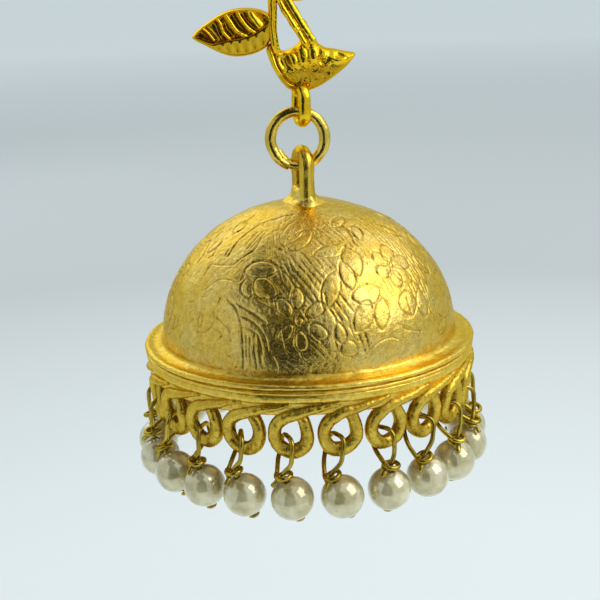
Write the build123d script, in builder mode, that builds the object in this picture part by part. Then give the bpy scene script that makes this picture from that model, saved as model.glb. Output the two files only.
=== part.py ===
"""Jhumka earring: a leaf-and-bird ear stud, a jump ring and a bell fringed with pearl drops.

Millimetres, +Z up, seen from the front along +Y. The origin is where the ear post leaves the
flat back of the stud. The jump ring and the bell hang plumb on the line x = 0, y = HANG_Y.
"""
import os
from math import cos, radians, sin, sqrt, tan

from build123d import *

# Plumb line and the height of the bell's rim below the ear post
HANG_Y = -0.9
RIM_Z = -36.0

# Bell: half-ellipse dome, flange with two beads, and the band over the scrolls.
# Heights of the bell are measured from its rim.
DOME_R = 14.26
DOME_HEIGHT = 12.96
DOME_WALL = 0.9
DOME_BASE_Z = 0.18
DOME_ARC_DEG = 88.0
RIM_R = 16.0
FLANGE_R = 15.55
FLANGE_DIP = 0.1
BEAD_R = 0.25
SECOND_BEAD_Z = -0.72
BAND_R = 15.8
BAND_BOTTOM_Z = -1.9
SKIRT_R = 15.98
SKIRT_BAND_BOTTOM_Z = -2.75
INNER_STEP = 0.5

# Scrolls of the skirt, one for each drop
DROP_COUNT = 22
FIRST_DROP_DEG = -7.4
SCROLL_Z = -4.63
SCROLL_FACE_R = 15.8
SCROLL_TILT_DEG = 8.0
SCROLL_WALL = 1.0
SCROLL_HALF_WIDTH = 2.24
SCROLL_HALF_HEIGHT = 2.4
SCROLL_SAG = 0.14
SHOULDER_CENTRE = (-1.0, 1.3)
SHOULDER_SIZE = (1.6, 1.3)
HOLE_HALF_WIDTH = 0.82
HOLE_HALF_HEIGHT = 1.0

# Staple-shaped cast loop on the bell, its legs sunk in a mound of solder
LOOP_TURN_DEG = 15.0
STAPLE_WIRE_R = 0.66
STAPLE_HOLE_R = 0.78
STAPLE_ARC_Z = 16.27
SOLDER_FOOT = (2.0, 2.9)
SOLDER_FOOT_Z = 12.3
SOLDER_NECK = (0.95, 2.2)
SOLDER_NECK_Z = 14.0

# Jump ring, resting a little left of the plumb line
RING_R = 2.55
RING_WIRE_R = 0.5
RING_X = -0.35
RING_Z = RIM_Z + 18.96

# Oval cast loop under the bird
TOP_LOOP_X = 0.1
TOP_LOOP_BAR = (0.8, 1.1)
TOP_LOOP_MID_R = 1.25
TOP_LOOP_LOW_Z = -14.36
TOP_LOOP_HIGH_Z = -13.4

# Leaf, bird, stems and stud: cast in one, x and z in their own upright plane
BIRD_THICK = 1.3
BIRD_RELIEF = 0.5
BIRD_BORDER = 0.35
BIRD_TAIL = (-3.05, -8.68)
BIRD_BREAST_LEFT = (-1.85, -11.45)
BIRD_BELLY = (0.1, -12.75)
BIRD_BREAST_RIGHT = (3.1, -11.62)
BEAK_TIP = (5.32, -9.58)
BEAK_TOP = (5.15, -9.3)
BIRD_CROWN = (3.6, -8.98)
BIRD_NAPE = (2.22, -8.72)
BIRD_BACK_RIGHT = (0.13, -8.2)
BIRD_BACK = (-1.2, -8.95)
BIRD_BACK_LEFT = (-2.0, -8.3)
LEAF_BACK = 0.25
LEAF_THICK = 1.2
LEAF_TIP = (-9.75, -7.4)
LEAF_LOW = (-5.9, -9.32)
LEAF_JOIN_LOW = (-2.5, -8.4)
LEAF_JOIN_HIGH = (-2.3, -5.6)
LEAF_HIGH = (-6.0, -4.95)
STEM_BACK = 0.2
STEM_THICK = 1.3
LEFT_STEM = {"foot": (-2.3, -8.6), "head": (-2.15, -4.0), "width": 0.9}
RIGHT_STEM = {"foot": (1.2, -9.0), "head": (-1.35, -4.0), "width": 1.35}
STUD_R = 4.5
STUD_EDGE = 0.9
STUD_CROWN = 1.7
STUD_CROWN_HALFWAY = 1.5
POST_R = 0.4
POST_LENGTH = 10.0
POST_SINK = 0.5
POST_TIP = 0.15

# Pearl drops: one bent head pin each, with a loop through the scroll and a coil on the pearl
PEARL_R = 1.95
PEARL_BORE_R = 0.29
PEARL_RING_R = 15.53
PEARL_Z = -10.66
PIN_R = 0.21
PIN_HEAD_R = 0.5
PIN_HEAD_THICK = 0.3
PIN_GAP = 0.06
COIL_R = 0.58
COIL_HALF_HEIGHT = 0.2
BORE_OUT_DEG = 13.0
BORE_LEAN_DEG = 14.0
BORE_LEAN_SPREAD_DEG = 12.0
EYE_CENTRE_R = 15.1
EYE_OUT = 0.92
EYE_IN = 1.02
EYE_TOP_Z = -5.02
EYE_LOW_Z = -7.6
EYE_YAW_DEG = 17.0
EYE_YAW_SPREAD_DEG = 6.0
EYE_FILLET = 0.8
LOW_FILLET = 0.6
STEM_FILLET = 1.0
UNEVEN_STEP = 2.4

BELL_AXIS = Axis((0, HANG_Y, 0), (0, 0, 1))
BELL_SECTION = Plane(origin=(0, HANG_Y, RIM_Z), x_dir=(1, 0, 0), z_dir=(0, -1, 0))


def drop_angle(index):
    """Angle in degrees of a scroll and its drop, counted to the right from the front."""
    return FIRST_DROP_DEG + index * 360.0 / DROP_COUNT


def outward(index):
    """Level direction from the bell's axis towards a drop."""
    angle = radians(drop_angle(index))
    return Vector(sin(angle), -cos(angle), 0)


def rightward(index):
    """Level direction along the rim at a drop, to the right as seen from outside."""
    angle = radians(drop_angle(index))
    return Vector(cos(angle), sin(angle), 0)


def at_drop(index, radius, height, aside=0.0):
    """Point at a drop, from its radius, its height over the rim and its place aside."""
    return Vector(0, HANG_Y, RIM_Z + height) + outward(index) * radius + rightward(index) * aside


def scroll_plane(index):
    """Face plane of a scroll: x runs right, y up, and z out and a little down."""
    tilt = radians(SCROLL_TILT_DEG)
    normal = outward(index) * cos(tilt) - Vector(0, 0, sin(tilt))
    return Plane(at_drop(index, SCROLL_FACE_R, SCROLL_Z), x_dir=rightward(index), z_dir=normal)


def edge_on_plane(x, z):
    """Upright plane of a cast loop that is seen nearly edge-on; its x runs to the back."""
    turn = radians(LOOP_TURN_DEG)
    return Plane((x, HANG_Y, z), x_dir=(-sin(turn), cos(turn), 0), z_dir=(cos(turn), sin(turn), 0))


def stud_plane(depth):
    """Upright plane that faces the front, at a depth in front of the flat back."""
    return Plane.XZ.offset(depth)


# ------------------------------------------------------------------ bell
inner_r = DOME_R - DOME_WALL
inner_height = DOME_HEIGHT - DOME_WALL
inner_skirt_r = SKIRT_R - SCROLL_WALL
staple_r = STAPLE_HOLE_R + STAPLE_WIRE_R

with BuildLine(edge_on_plane(0, RIM_Z)) as staple:
    Line((-staple_r, SOLDER_FOOT_Z), (-staple_r, STAPLE_ARC_Z))
    ThreePointArc((-staple_r, STAPLE_ARC_Z), (0, STAPLE_ARC_Z + staple_r), (staple_r, STAPLE_ARC_Z))
    Line((staple_r, STAPLE_ARC_Z), (staple_r, SOLDER_FOOT_Z))

with BuildPart() as bell:
    # Dome wall with a small flat crown, flange, two beads and the band, turned in one
    with BuildSketch(BELL_SECTION):
        with BuildLine():
            outside = EllipticalCenterArc((0, DOME_BASE_Z), DOME_R, DOME_HEIGHT, arc_size=DOME_ARC_DEG)
            inside = EllipticalCenterArc((0, DOME_BASE_Z), inner_r, inner_height, arc_size=DOME_ARC_DEG)
            Polyline(outside @ 1, (0, (outside @ 1).Y), (0, (inside @ 1).Y), inside @ 1)
            Polyline(
                (inner_r, DOME_BASE_Z),
                (inner_r, DOME_BASE_Z - INNER_STEP),
                (inner_skirt_r, BAND_BOTTOM_Z + INNER_STEP),
                (inner_skirt_r, SKIRT_BAND_BOTTOM_Z),
                (SKIRT_R, SKIRT_BAND_BOTTOM_Z),
                (SKIRT_R, BAND_BOTTOM_Z),
                (BAND_R, BAND_BOTTOM_Z),
                (BAND_R, -BEAD_R),
                (FLANGE_R, 0),
            )
            ThreePointArc((FLANGE_R, 0), ((FLANGE_R + DOME_R) / 2, -FLANGE_DIP), (DOME_R, DOME_BASE_Z))
        make_face()
        with Locations((RIM_R - BEAD_R, -BEAD_R), (RIM_R - BEAD_R, SECOND_BEAD_Z)):
            Circle(BEAD_R)
    revolve(axis=BELL_AXIS)

    # Scrolls: oval rings side by side under the band, each with a shoulder on its left
    with BuildSketch(*[scroll_plane(index) for index in range(DROP_COUNT)]):
        with Locations((0, -SCROLL_SAG)):
            Ellipse(SCROLL_HALF_WIDTH, SCROLL_HALF_HEIGHT)
        with Locations(SHOULDER_CENTRE):
            Rectangle(*SHOULDER_SIZE)
        Ellipse(HOLE_HALF_WIDTH, HOLE_HALF_HEIGHT, mode=Mode.SUBTRACT)
    extrude(amount=-SCROLL_WALL)

    # Staple-shaped loop
    with BuildSketch(Plane(staple.line @ 0, z_dir=(0, 0, 1))):
        Circle(STAPLE_WIRE_R)
    sweep(path=staple.line)

    # Mound of solder round the staple's legs
    with BuildSketch(Plane((0, HANG_Y, RIM_Z + SOLDER_FOOT_Z))):
        Ellipse(*SOLDER_FOOT, rotation=LOOP_TURN_DEG)
    with BuildSketch(Plane((0, HANG_Y, RIM_Z + SOLDER_NECK_Z))):
        Ellipse(*SOLDER_NECK, rotation=LOOP_TURN_DEG)
    loft()

bell.part.label = "bell"

# ------------------------------------------------------------------ jump ring
with BuildPart() as jump_ring:
    with BuildSketch(Plane((RING_X, HANG_Y, RING_Z))):
        with Locations((RING_R, 0)):
            Circle(RING_WIRE_R)
    revolve(axis=Axis((RING_X, HANG_Y, RING_Z), (0, 1, 0)))

jump_ring.part.label = "jump_ring"

# ------------------------------------------------------------------ ear stud
with BuildLine(edge_on_plane(TOP_LOOP_X, 0)) as top_loop:
    Line((-TOP_LOOP_MID_R, TOP_LOOP_HIGH_Z), (-TOP_LOOP_MID_R, TOP_LOOP_LOW_Z))
    ThreePointArc(
        (-TOP_LOOP_MID_R, TOP_LOOP_LOW_Z),
        (0, TOP_LOOP_LOW_Z - TOP_LOOP_MID_R),
        (TOP_LOOP_MID_R, TOP_LOOP_LOW_Z),
    )
    Line((TOP_LOOP_MID_R, TOP_LOOP_LOW_Z), (TOP_LOOP_MID_R, TOP_LOOP_HIGH_Z))
    ThreePointArc(
        (TOP_LOOP_MID_R, TOP_LOOP_HIGH_Z),
        (0, TOP_LOOP_HIGH_Z + TOP_LOOP_MID_R),
        (-TOP_LOOP_MID_R, TOP_LOOP_HIGH_Z),
    )

with BuildPart() as stud_top:
    # Bird: round breast, beak to the right, tail to the left, raised inside its border
    with BuildSketch(stud_plane(0)) as bird:
        with BuildLine():
            ThreePointArc(BIRD_TAIL, BIRD_BREAST_LEFT, BIRD_BELLY)
            ThreePointArc(BIRD_BELLY, BIRD_BREAST_RIGHT, BEAK_TIP)
            Line(BEAK_TIP, BEAK_TOP)
            ThreePointArc(BEAK_TOP, BIRD_CROWN, BIRD_NAPE)
            Line(BIRD_NAPE, BIRD_BACK_RIGHT)
            ThreePointArc(BIRD_BACK_RIGHT, BIRD_BACK, BIRD_BACK_LEFT)
            Line(BIRD_BACK_LEFT, BIRD_TAIL)
        make_face()
    extrude(amount=BIRD_THICK)
    with BuildSketch(stud_plane(BIRD_THICK)):
        add(bird.sketch_local)
        offset(amount=-BIRD_BORDER)
    extrude(amount=BIRD_RELIEF)

    # Leaf: two arcs from the tip to the left stem
    with BuildSketch(stud_plane(LEAF_BACK)):
        with BuildLine():
            ThreePointArc(LEAF_TIP, LEAF_LOW, LEAF_JOIN_LOW)
            Line(LEAF_JOIN_LOW, LEAF_JOIN_HIGH)
            ThreePointArc(LEAF_JOIN_HIGH, LEAF_HIGH, LEAF_TIP)
        make_face()
    extrude(amount=LEAF_THICK)

    # Two stems, which run up into the stud
    with BuildSketch(stud_plane(STEM_BACK)):
        for stem in (LEFT_STEM, RIGHT_STEM):
            middle = (Vector(stem["foot"]) + Vector(stem["head"])) * 0.5
            SlotCenterPoint(middle, stem["head"], stem["width"])
    extrude(amount=STEM_THICK)

    # Oval loop under the bird
    with BuildSketch(Plane(top_loop.line @ 0, x_dir=(0, 1, 0), z_dir=(0, 0, -1))):
        Ellipse(TOP_LOOP_BAR[0] / 2, TOP_LOOP_BAR[1] / 2, rotation=-LOOP_TURN_DEG)
    sweep(path=top_loop.line)

    # Round stud with a low crown, and the ear post on its back
    with BuildSketch(Plane.YZ):
        with BuildLine():
            Polyline((0, 0), (0, STUD_R), (-STUD_EDGE, STUD_R))
            ThreePointArc((-STUD_EDGE, STUD_R), (-STUD_CROWN_HALFWAY, STUD_R / 2), (-STUD_CROWN, 0))
            Line((-STUD_CROWN, 0), (0, 0))
        make_face()
    revolve(axis=Axis.Y)
    with BuildSketch(stud_plane(POST_SINK)):
        Circle(POST_R)
    extrude(amount=-(POST_LENGTH + POST_SINK))
    chamfer(stud_top.faces().sort_by(Axis.Y)[-1].edges(), POST_TIP)

stud_top.part.label = "stud_top"


# ------------------------------------------------------------------ pearl drops
def uneven(index, phase):
    """A slow wave between -1 and 1 that keeps neighbouring drops from hanging alike."""
    return sin(UNEVEN_STEP * index + phase)


def bore_direction(index):
    """Direction of the pin up through the pearl, leaning out and to the left."""
    lean = radians(BORE_LEAN_DEG + BORE_LEAN_SPREAD_DEG * uneven(index, 0))
    sideways = rightward(index) * -tan(lean)
    return (outward(index) * tan(radians(BORE_OUT_DEG)) + sideways + Vector(0, 0, 1)).normalized()


def pin_route(index):
    """Corners of the pin: head, coil, over the scroll's foot through its hole, and back to the coil."""
    centre = at_drop(index, PEARL_RING_R, PEARL_Z)
    bore = bore_direction(index)
    coil = centre + bore * (PEARL_R + PIN_R + PIN_GAP)
    yaw = radians(EYE_YAW_DEG + EYE_YAW_SPREAD_DEG * uneven(index, 1))

    def on_eye(reach, height):
        return at_drop(index, EYE_CENTRE_R + reach, height, reach * tan(yaw))

    inner_low = on_eye(-EYE_IN, EYE_LOW_Z)
    towards_coil = (coil - inner_low).normalized()
    return [
        centre - bore * (PEARL_R + PIN_GAP),
        coil,
        on_eye(EYE_OUT, EYE_TOP_Z),
        on_eye(-EYE_IN, EYE_TOP_Z),
        inner_low,
        coil - towards_coil * COIL_R,
    ]


def across(direction):
    """Level direction at right angles to the given one."""
    return Vector(direction.Y, -direction.X, 0).normalized()


pearl_half_bore = sqrt(PEARL_R**2 - PEARL_BORE_R**2)
drops = []
for index in range(DROP_COUNT):
    route = pin_route(index)
    bore = bore_direction(index)
    centre = at_drop(index, PEARL_RING_R, PEARL_Z)

    with BuildPart() as pearl:
        with BuildSketch(Plane(centre, x_dir=across(bore), z_dir=bore.cross(across(bore)))):
            with BuildLine():
                bottom = (PEARL_BORE_R, -pearl_half_bore)
                top = (PEARL_BORE_R, pearl_half_bore)
                ThreePointArc(bottom, (PEARL_R, 0), top)
                Line(top, bottom)
            make_face()
        revolve(axis=Axis(centre, bore))
    pearl.part.label = f"pearl_{index + 1:02d}"

    with BuildLine() as pin_line:
        FilletPolyline(*route, radius=[STEM_FILLET, EYE_FILLET, EYE_FILLET, LOW_FILLET])
    with BuildPart() as drop_wire:
        with BuildSketch(Plane(route[0], z_dir=bore)):
            Circle(PIN_R)
        sweep(path=pin_line.line)
        with BuildSketch(Plane(route[0], z_dir=-bore)):
            Circle(PIN_HEAD_R)
        extrude(amount=PIN_HEAD_THICK)
        with BuildSketch(Plane(route[1] - bore * COIL_HALF_HEIGHT, z_dir=bore)):
            Circle(COIL_R + PIN_R)
            Circle(COIL_R - PIN_R, mode=Mode.SUBTRACT)
        extrude(amount=2 * COIL_HALF_HEIGHT)
    drop_wire.part.label = f"drop_wire_{index + 1:02d}"

    drops += [pearl, drop_wire]

os.makedirs("parts", exist_ok=True)
for piece in [stud_top, jump_ring, bell] + drops:
    export_step(piece.part, f"parts/{piece.part.label}.step")
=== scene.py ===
"""Looks of the jhumka earring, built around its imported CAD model.

Lengths are millimetres in the CAD frame until a mesh is made. Heights of the bell are measured
from its rim, and azimuths run to the right from the front, in degrees unless said otherwise.
A part is a tuple of points, blocks of faces and a dictionary of values per point.
"""

import bpy
import numpy as np
from mathutils import Matrix, Vector
from mathutils.geometry import delaunay_2d_cdt


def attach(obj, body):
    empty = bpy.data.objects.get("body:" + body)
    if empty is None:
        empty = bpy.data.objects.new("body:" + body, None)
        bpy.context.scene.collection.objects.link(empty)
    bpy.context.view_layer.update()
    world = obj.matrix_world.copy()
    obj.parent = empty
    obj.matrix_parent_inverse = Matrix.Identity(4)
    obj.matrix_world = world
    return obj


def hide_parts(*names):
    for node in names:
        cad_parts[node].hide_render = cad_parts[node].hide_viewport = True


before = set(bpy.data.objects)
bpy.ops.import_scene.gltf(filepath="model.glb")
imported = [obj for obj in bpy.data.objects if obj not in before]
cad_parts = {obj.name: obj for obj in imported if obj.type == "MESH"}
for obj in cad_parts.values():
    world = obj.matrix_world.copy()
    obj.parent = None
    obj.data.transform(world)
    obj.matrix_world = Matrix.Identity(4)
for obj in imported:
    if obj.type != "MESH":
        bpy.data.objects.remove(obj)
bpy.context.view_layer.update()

MM = 0.001
TURN = 2 * np.pi
SEED = 22

# The bell, as the CAD has it
HANG_Y = -0.9
RIM_Z = -36.0
DOME_R = 14.26
DOME_HEIGHT = 12.96
DOME_WALL = 0.9
DOME_BASE_Z = 0.18
DROP_COUNT = 22
FIRST_DROP_DEG = -7.4
DROP_STEP_DEG = 360.0 / DROP_COUNT
SCROLL_Z = -4.63


# ------------------------------------------------------------------ camera, room and light
CAMERA_PLACE = (0.0, -112.94, -1.16)
CAMERA_DOWN_DEG = 15.78
CAMERA_PAN_DEG = 0.38
CAMERA_ROLL_DEG = -2.32
CAMERA_LENS = 71.54
SENSOR = 36.0
CLIP_NEAR = 1.0
CLIP_FAR = 50000.0

# Colour of the room by the sine of the view's rise, from level (0) to a small bright spot overhead (1)
ROOM = (
    (0.0, (0.58, 0.66, 0.69)),
    (0.996, (0.64, 0.68, 0.69)),
    (1.0, (1.0, 1.0, 1.0)),
)
BELL_MIDDLE_Z = -31.0
# Soft boxes: azimuth, rise, power in watts and colour
LAMPS = {
    "right_box": (71, 38, 1.22, (1.0, 0.97, 0.92)),
    "left_box": (-150, 30, 0.38, (0.97, 0.98, 1.0)),
    "back_box": (122, 46, 0.36, (1.0, 0.97, 0.92)),
}
LAMP_REACH = 600.0
LAMP_SIZE = 420.0
# The dark card's edges: rise over level, left and right azimuth
FLAG_EDGES = ((-19, -40, 12), (20, -38, 11), (35, -34, 5), (48, -84, -12), (74, -110, 0))
FLAG_REACH = 230.0
FLAG_ROWS = 35
FLAG_COLUMNS = 30
FLAG_COLOUR = (0.020, 0.019, 0.016)

FLOOR_Z = -112.0
FLOOR_SIZE = 24000.0
# Floor paper: its tint, and its painted light and shade by the distance from the stud in metres
FLOOR_TINT = (0.93, 0.985, 1.0)
FLOOR_PAINTED_SHADES = ((0.0, 0.95), (0.16, 0.92), (0.34, 0.65), (0.70, 0.74), (1.60, 0.98))
CLOTH_ROUGHNESS = 0.9


def add_object(name, data):
    """A new object in the scene."""
    added = bpy.data.objects.new(name, data)
    bpy.context.scene.collection.objects.link(added)
    return added


def polar(azimuth_deg, rise_deg, reach):
    """Point at a distance from the bell's middle, by its azimuth and its rise over the level."""
    azimuth, rise = np.radians(azimuth_deg), np.radians(rise_deg)
    level = reach * np.cos(rise)
    height = BELL_MIDDLE_Z + reach * np.sin(rise)
    return np.stack([level * np.sin(azimuth), -level * np.cos(azimuth), height], -1)


def add_camera():
    data = bpy.data.cameras.new("camera")
    data.sensor_width = SENSOR
    data.lens = CAMERA_LENS
    data.clip_start = CLIP_NEAR * MM
    data.clip_end = CLIP_FAR * MM
    turn = (
        Matrix.Rotation(np.radians(CAMERA_PAN_DEG), 4, "Z")
        @ Matrix.Rotation(np.radians(90 - CAMERA_DOWN_DEG), 4, "X")
        @ Matrix.Rotation(np.radians(CAMERA_ROLL_DEG), 4, "Z")
    )
    camera = add_object("camera", data)
    camera.matrix_world = Matrix.Translation(Vector(CAMERA_PLACE) * MM) @ turn
    bpy.context.scene.camera = camera


def add_lamp(name, azimuth_deg, rise_deg, power, colour):
    """A square soft box, aimed at the bell's middle."""
    data = bpy.data.lights.new(name, "AREA")
    data.shape = "RECTANGLE"
    data.size = LAMP_SIZE * MM
    data.size_y = LAMP_SIZE * MM
    data.energy = power
    data.color = colour
    place = Vector(polar(azimuth_deg, rise_deg, LAMP_REACH))
    aim = (Vector((0, 0, BELL_MIDDLE_Z)) - place).to_track_quat("-Z", "Y")
    add_object(name, data).matrix_world = Matrix.Translation(place * MM) @ aim.to_matrix().to_4x4()


def fill_ramp(node, stops):
    """Gives a new colour ramp its stops (position, colour), the first at 0 and the last at 1."""
    elements = node.color_ramp.elements
    for position, _ in stops[1:-1]:
        elements.new(position)
    for element, (_, colour) in zip(elements, stops):
        element.color = (*colour, 1.0)


def add_world():
    """A pale, even room."""
    world = bpy.data.worlds.new("room")
    bpy.context.scene.world = world
    world.use_nodes = True
    nodes, links = world.node_tree.nodes, world.node_tree.links
    direction = nodes.new("ShaderNodeTexCoord")
    split = nodes.new("ShaderNodeSeparateXYZ")
    ramp = nodes.new("ShaderNodeValToRGB")
    fill_ramp(ramp, ROOM)
    links.new(direction.outputs["Generated"], split.inputs[0])
    links.new(split.outputs["Z"], ramp.inputs[0])
    links.new(ramp.outputs["Color"], nodes["Background"].inputs["Color"])


def add_flag():
    """A dark card round the front left, seen only in reflections, for the dark patch on the dome."""
    rises, lefts, rights = np.array(FLAG_EDGES, float).T
    rise = np.linspace(rises[0], rises[-1], FLAG_ROWS)[:, None]
    left = np.interp(rise, rises, lefts)
    right = np.interp(rise, rises, rights)
    azimuth = left + (right - left) * np.linspace(0, 1, FLAG_COLUMNS)
    points = polar(azimuth, rise + 0 * azimuth, FLAG_REACH).reshape(-1, 3)
    mesh = make_mesh("flag", (points, [strip_faces(*azimuth.shape, closed=False)], {}))
    surface = Surface("flag_cloth", Roughness=CLOTH_ROUGHNESS)
    surface.feed(FLAG_COLOUR, surface.shader.inputs["Base Color"])
    mesh.materials.append(surface.material)
    flag = add_object("flag", mesh)
    flag.visible_camera = False
    flag.visible_diffuse = False
    flag.visible_shadow = False


def add_floor():
    """A wide sheet of pale paper, with painted light and shade by the distance from the stud."""
    half = FLOOR_SIZE / 2
    corners = [(-half, -half, FLOOR_Z), (half, -half, FLOOR_Z), (half, half, FLOOR_Z), (-half, half, FLOOR_Z)]
    surface = Surface("floor_paper", Roughness=CLOTH_ROUGHNESS)
    reach = surface.new("ShaderNodeVectorMath")
    reach.operation = "LENGTH"
    surface.feed(surface.place, reach.inputs[0])
    # painted light and shade: the paper's colour falls and rises with the distance from the stud
    ramp = surface.new("ShaderNodeValToRGB")
    widest = FLOOR_PAINTED_SHADES[-1][0]
    stops = [(place / widest, [value * part for part in FLOOR_TINT]) for place, value in FLOOR_PAINTED_SHADES]
    fill_ramp(ramp, stops)
    surface.feed(surface.scaled(reach.outputs["Value"], 1 / widest), ramp.inputs[0])
    mesh = make_mesh("floor", (corners, [[(0, 1, 2, 3)]], {}))
    mesh.materials.append(surface.use(Base_Color=ramp.outputs["Color"]))
    floor = add_object("floor", mesh)


# ------------------------------------------------------------------ meshes
def make_mesh(name, part):
    """A smooth mesh of a part."""
    points, faces, values = part
    mesh = bpy.data.meshes.new(name)
    points = np.asarray(points, float)
    faces = [np.asarray(block, np.int32) for block in faces if len(block)]
    loops = np.concatenate([block.ravel() for block in faces])
    sides = np.concatenate([np.full(len(block), block.shape[1]) for block in faces])
    mesh.vertices.add(len(points))
    mesh.vertices.foreach_set("co", (points * MM).astype(np.float32).ravel())
    mesh.loops.add(len(loops))
    mesh.loops.foreach_set("vertex_index", loops.astype(np.int32))
    mesh.polygons.add(len(sides))
    mesh.polygons.foreach_set("loop_start", (np.cumsum(sides) - sides).astype(np.int32))
    mesh.polygons.foreach_set("use_smooth", np.ones(len(sides), bool))
    for key, value in values.items():
        value = np.asarray(value, np.float32)
        kind, field = ("FLOAT_VECTOR", "vector") if value.ndim == 2 else ("FLOAT", "value")
        mesh.attributes.new(key, kind, "POINT").data.foreach_set(field, value.ravel())
    mesh.update(calc_edges=True)
    mesh.validate()
    return mesh


def add_piece(name, part, material, body, replaced, sharp_deg=None):
    """A piece of the earring; faces that meet at more than sharp_deg are shaded apart."""
    mesh = make_mesh(name, part)
    if sharp_deg is not None:
        mesh.set_sharp_from_angle(angle=np.radians(sharp_deg))
    piece = add_object(name, mesh)
    mesh.materials.append(material)
    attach(piece, body)
    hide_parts(replaced)


def join_parts(parts):
    """One part from several that hold the same values."""
    points, faces, values, start = [], [], {}, 0
    for part_points, part_faces, part_values in parts:
        points.append(np.asarray(part_points, float))
        faces += [np.asarray(block) + start for block in part_faces]
        for key, value in part_values.items():
            values.setdefault(key, []).append(value)
        start += len(part_points)
    return np.concatenate(points), faces, {key: np.concatenate(value) for key, value in values.items()}


def ripple(points, size, seed, waves=20):
    """Smooth uneven values of about -2 to 2 with bumps of about that size, in 2-D or 3-D."""
    points = np.asarray(points, float)
    random = np.random.default_rng(SEED + seed)
    way = random.normal(size=(waves, points.shape[-1]))
    way *= TURN / (np.linalg.norm(way, axis=1, keepdims=True) * size * random.uniform(0.75, 1.5, (waves, 1)))
    phase = random.uniform(0, TURN, waves)
    total = np.zeros(points.shape[:-1])
    for direction, shift in zip(way, phase):
        total += np.sin(points @ direction + shift)
    return total * np.sqrt(2 / waves)


def roughness(points, seed, *waves):
    """A sum of ripples, given as (size, depth), each with a seed of its own."""
    return sum(depth * ripple(points, size, seed + index) for index, (size, depth) in enumerate(waves))


def smooth_line(corners, step, closed=False):
    """Points about a step apart on a smooth curve through the corners."""
    corners = np.asarray(corners, float)
    if closed:
        full = np.concatenate([corners[-1:], corners, corners[:2]])
    else:
        full = np.concatenate([2 * corners[:1] - corners[1:2], corners, 2 * corners[-1:] - corners[-2:-1]])
    line = []
    for a, b, c, d in zip(full, full[1:], full[2:], full[3:]):
        count = max(2, int(np.ceil(np.linalg.norm(c - b) / step)))
        t = np.arange(count)[:, None] / count
        line.append(0.5 * (2 * b + (c - a) * t + (2 * a - 5 * b + 4 * c - d) * t**2
                           + (3 * b - a - 3 * c + d) * t**3))
    if not closed:
        line.append(corners[-1:])
    return np.concatenate(line)


def along(line):
    """Length along a line at each of its points."""
    return np.concatenate([[0], np.cumsum(np.linalg.norm(np.diff(line, axis=0), axis=1))])


def unit(vectors):
    return vectors / np.linalg.norm(vectors, axis=-1, keepdims=True)


def turned(x, y, angle_deg):
    """Coordinates turned anticlockwise by an angle."""
    cos, sin = np.cos(np.radians(angle_deg)), np.sin(np.radians(angle_deg))
    return x * cos - y * sin, x * sin + y * cos


def round_turn(around):
    """Angles evenly round a whole turn, in radians."""
    return np.linspace(0, TURN, around, endpoint=False)


def circle(side, front, around):
    """Unit directions round a circle that starts at one direction and runs towards another."""
    turn = round_turn(around)[:, None]
    return side * np.cos(turn) + front * np.sin(turn)


def carried_frames(line, first):
    """Two directions across the line at each point, turning as little as possible."""
    way = unit(np.gradient(line, axis=0))
    side = np.empty_like(line)
    current = np.asarray(first, float)
    for i, tangent in enumerate(way):
        current = unit(current - tangent * (current @ tangent))
        side[i] = current
    return side, np.cross(way, side)


def strip_faces(rows, columns, closed=True):
    """Quads between rings of points; a ring runs anticlockwise as seen against the way of the rows."""
    i = np.arange(rows - 1)[:, None] * columns
    j = np.arange(columns if closed else columns - 1)
    following = (j + 1) % columns
    return np.stack([i + j, i + following, i + columns + following, i + columns + j], -1).reshape(-1, 4)


def band(low, high):
    """Quads between two closed rings of point numbers."""
    return np.stack([low, np.roll(low, -1), np.roll(high, -1), high], -1)


def end_faces(rows, around):
    """One face over the first ring and one over the last, facing apart."""
    ring = np.arange(around)
    return [ring[None], ((rows - 1) * around + ring)[::-1][None]]


def sweep(line, side, up, section, rough, seed, closed=False):
    """A bar along a line. section gives each point's (side, up) offsets as an array (points, around, 2)."""
    count, around = len(line), section.shape[1]
    points = line[:, None] + side[:, None] * section[..., :1] + up[:, None] * section[..., 1:]
    ring = np.linspace(0, 1, around, endpoint=False)
    girth = np.linalg.norm(section - np.roll(section, 1, 1), axis=-1).sum(1).mean()
    grain = np.stack(np.broadcast_arrays(along(line)[:, None], ring[None] * girth, seed * 1.0), -1)
    normal = unit(points - line[:, None])
    for size, depth, shift in ((1.2, rough, 0), (0.35, 0.5 * rough, 1)):
        points = points + normal * depth * ripple(points, size, seed + shift)[..., None]
    points, grain = points.reshape(-1, 3), grain.reshape(-1, 3)
    faces = [strip_faces(count, around)]
    if closed:
        faces.append(band((count - 1) * around + np.arange(around), np.arange(around)))
    else:
        for row, flip in ((0, True), (count - 1, False)):
            ring = row * around + np.arange(around)
            fan = np.stack([ring, np.roll(ring, -1), np.full(around, len(points))], -1)
            faces.append(fan[:, ::-1] if flip else fan)
            points = np.concatenate([points, points[ring].mean(0)[None]])
            grain = np.concatenate([grain, grain[ring[:1]]])
    return points, faces, {"grain": grain, "painted_shade": np.zeros(len(points))}


def round_section(radii, around):
    """Rings of the given radii, anticlockwise, as offsets for sweep."""
    angle = round_turn(around)
    return np.asarray(radii, float)[:, None, None] * np.stack([np.cos(angle), np.sin(angle)], -1)


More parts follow.
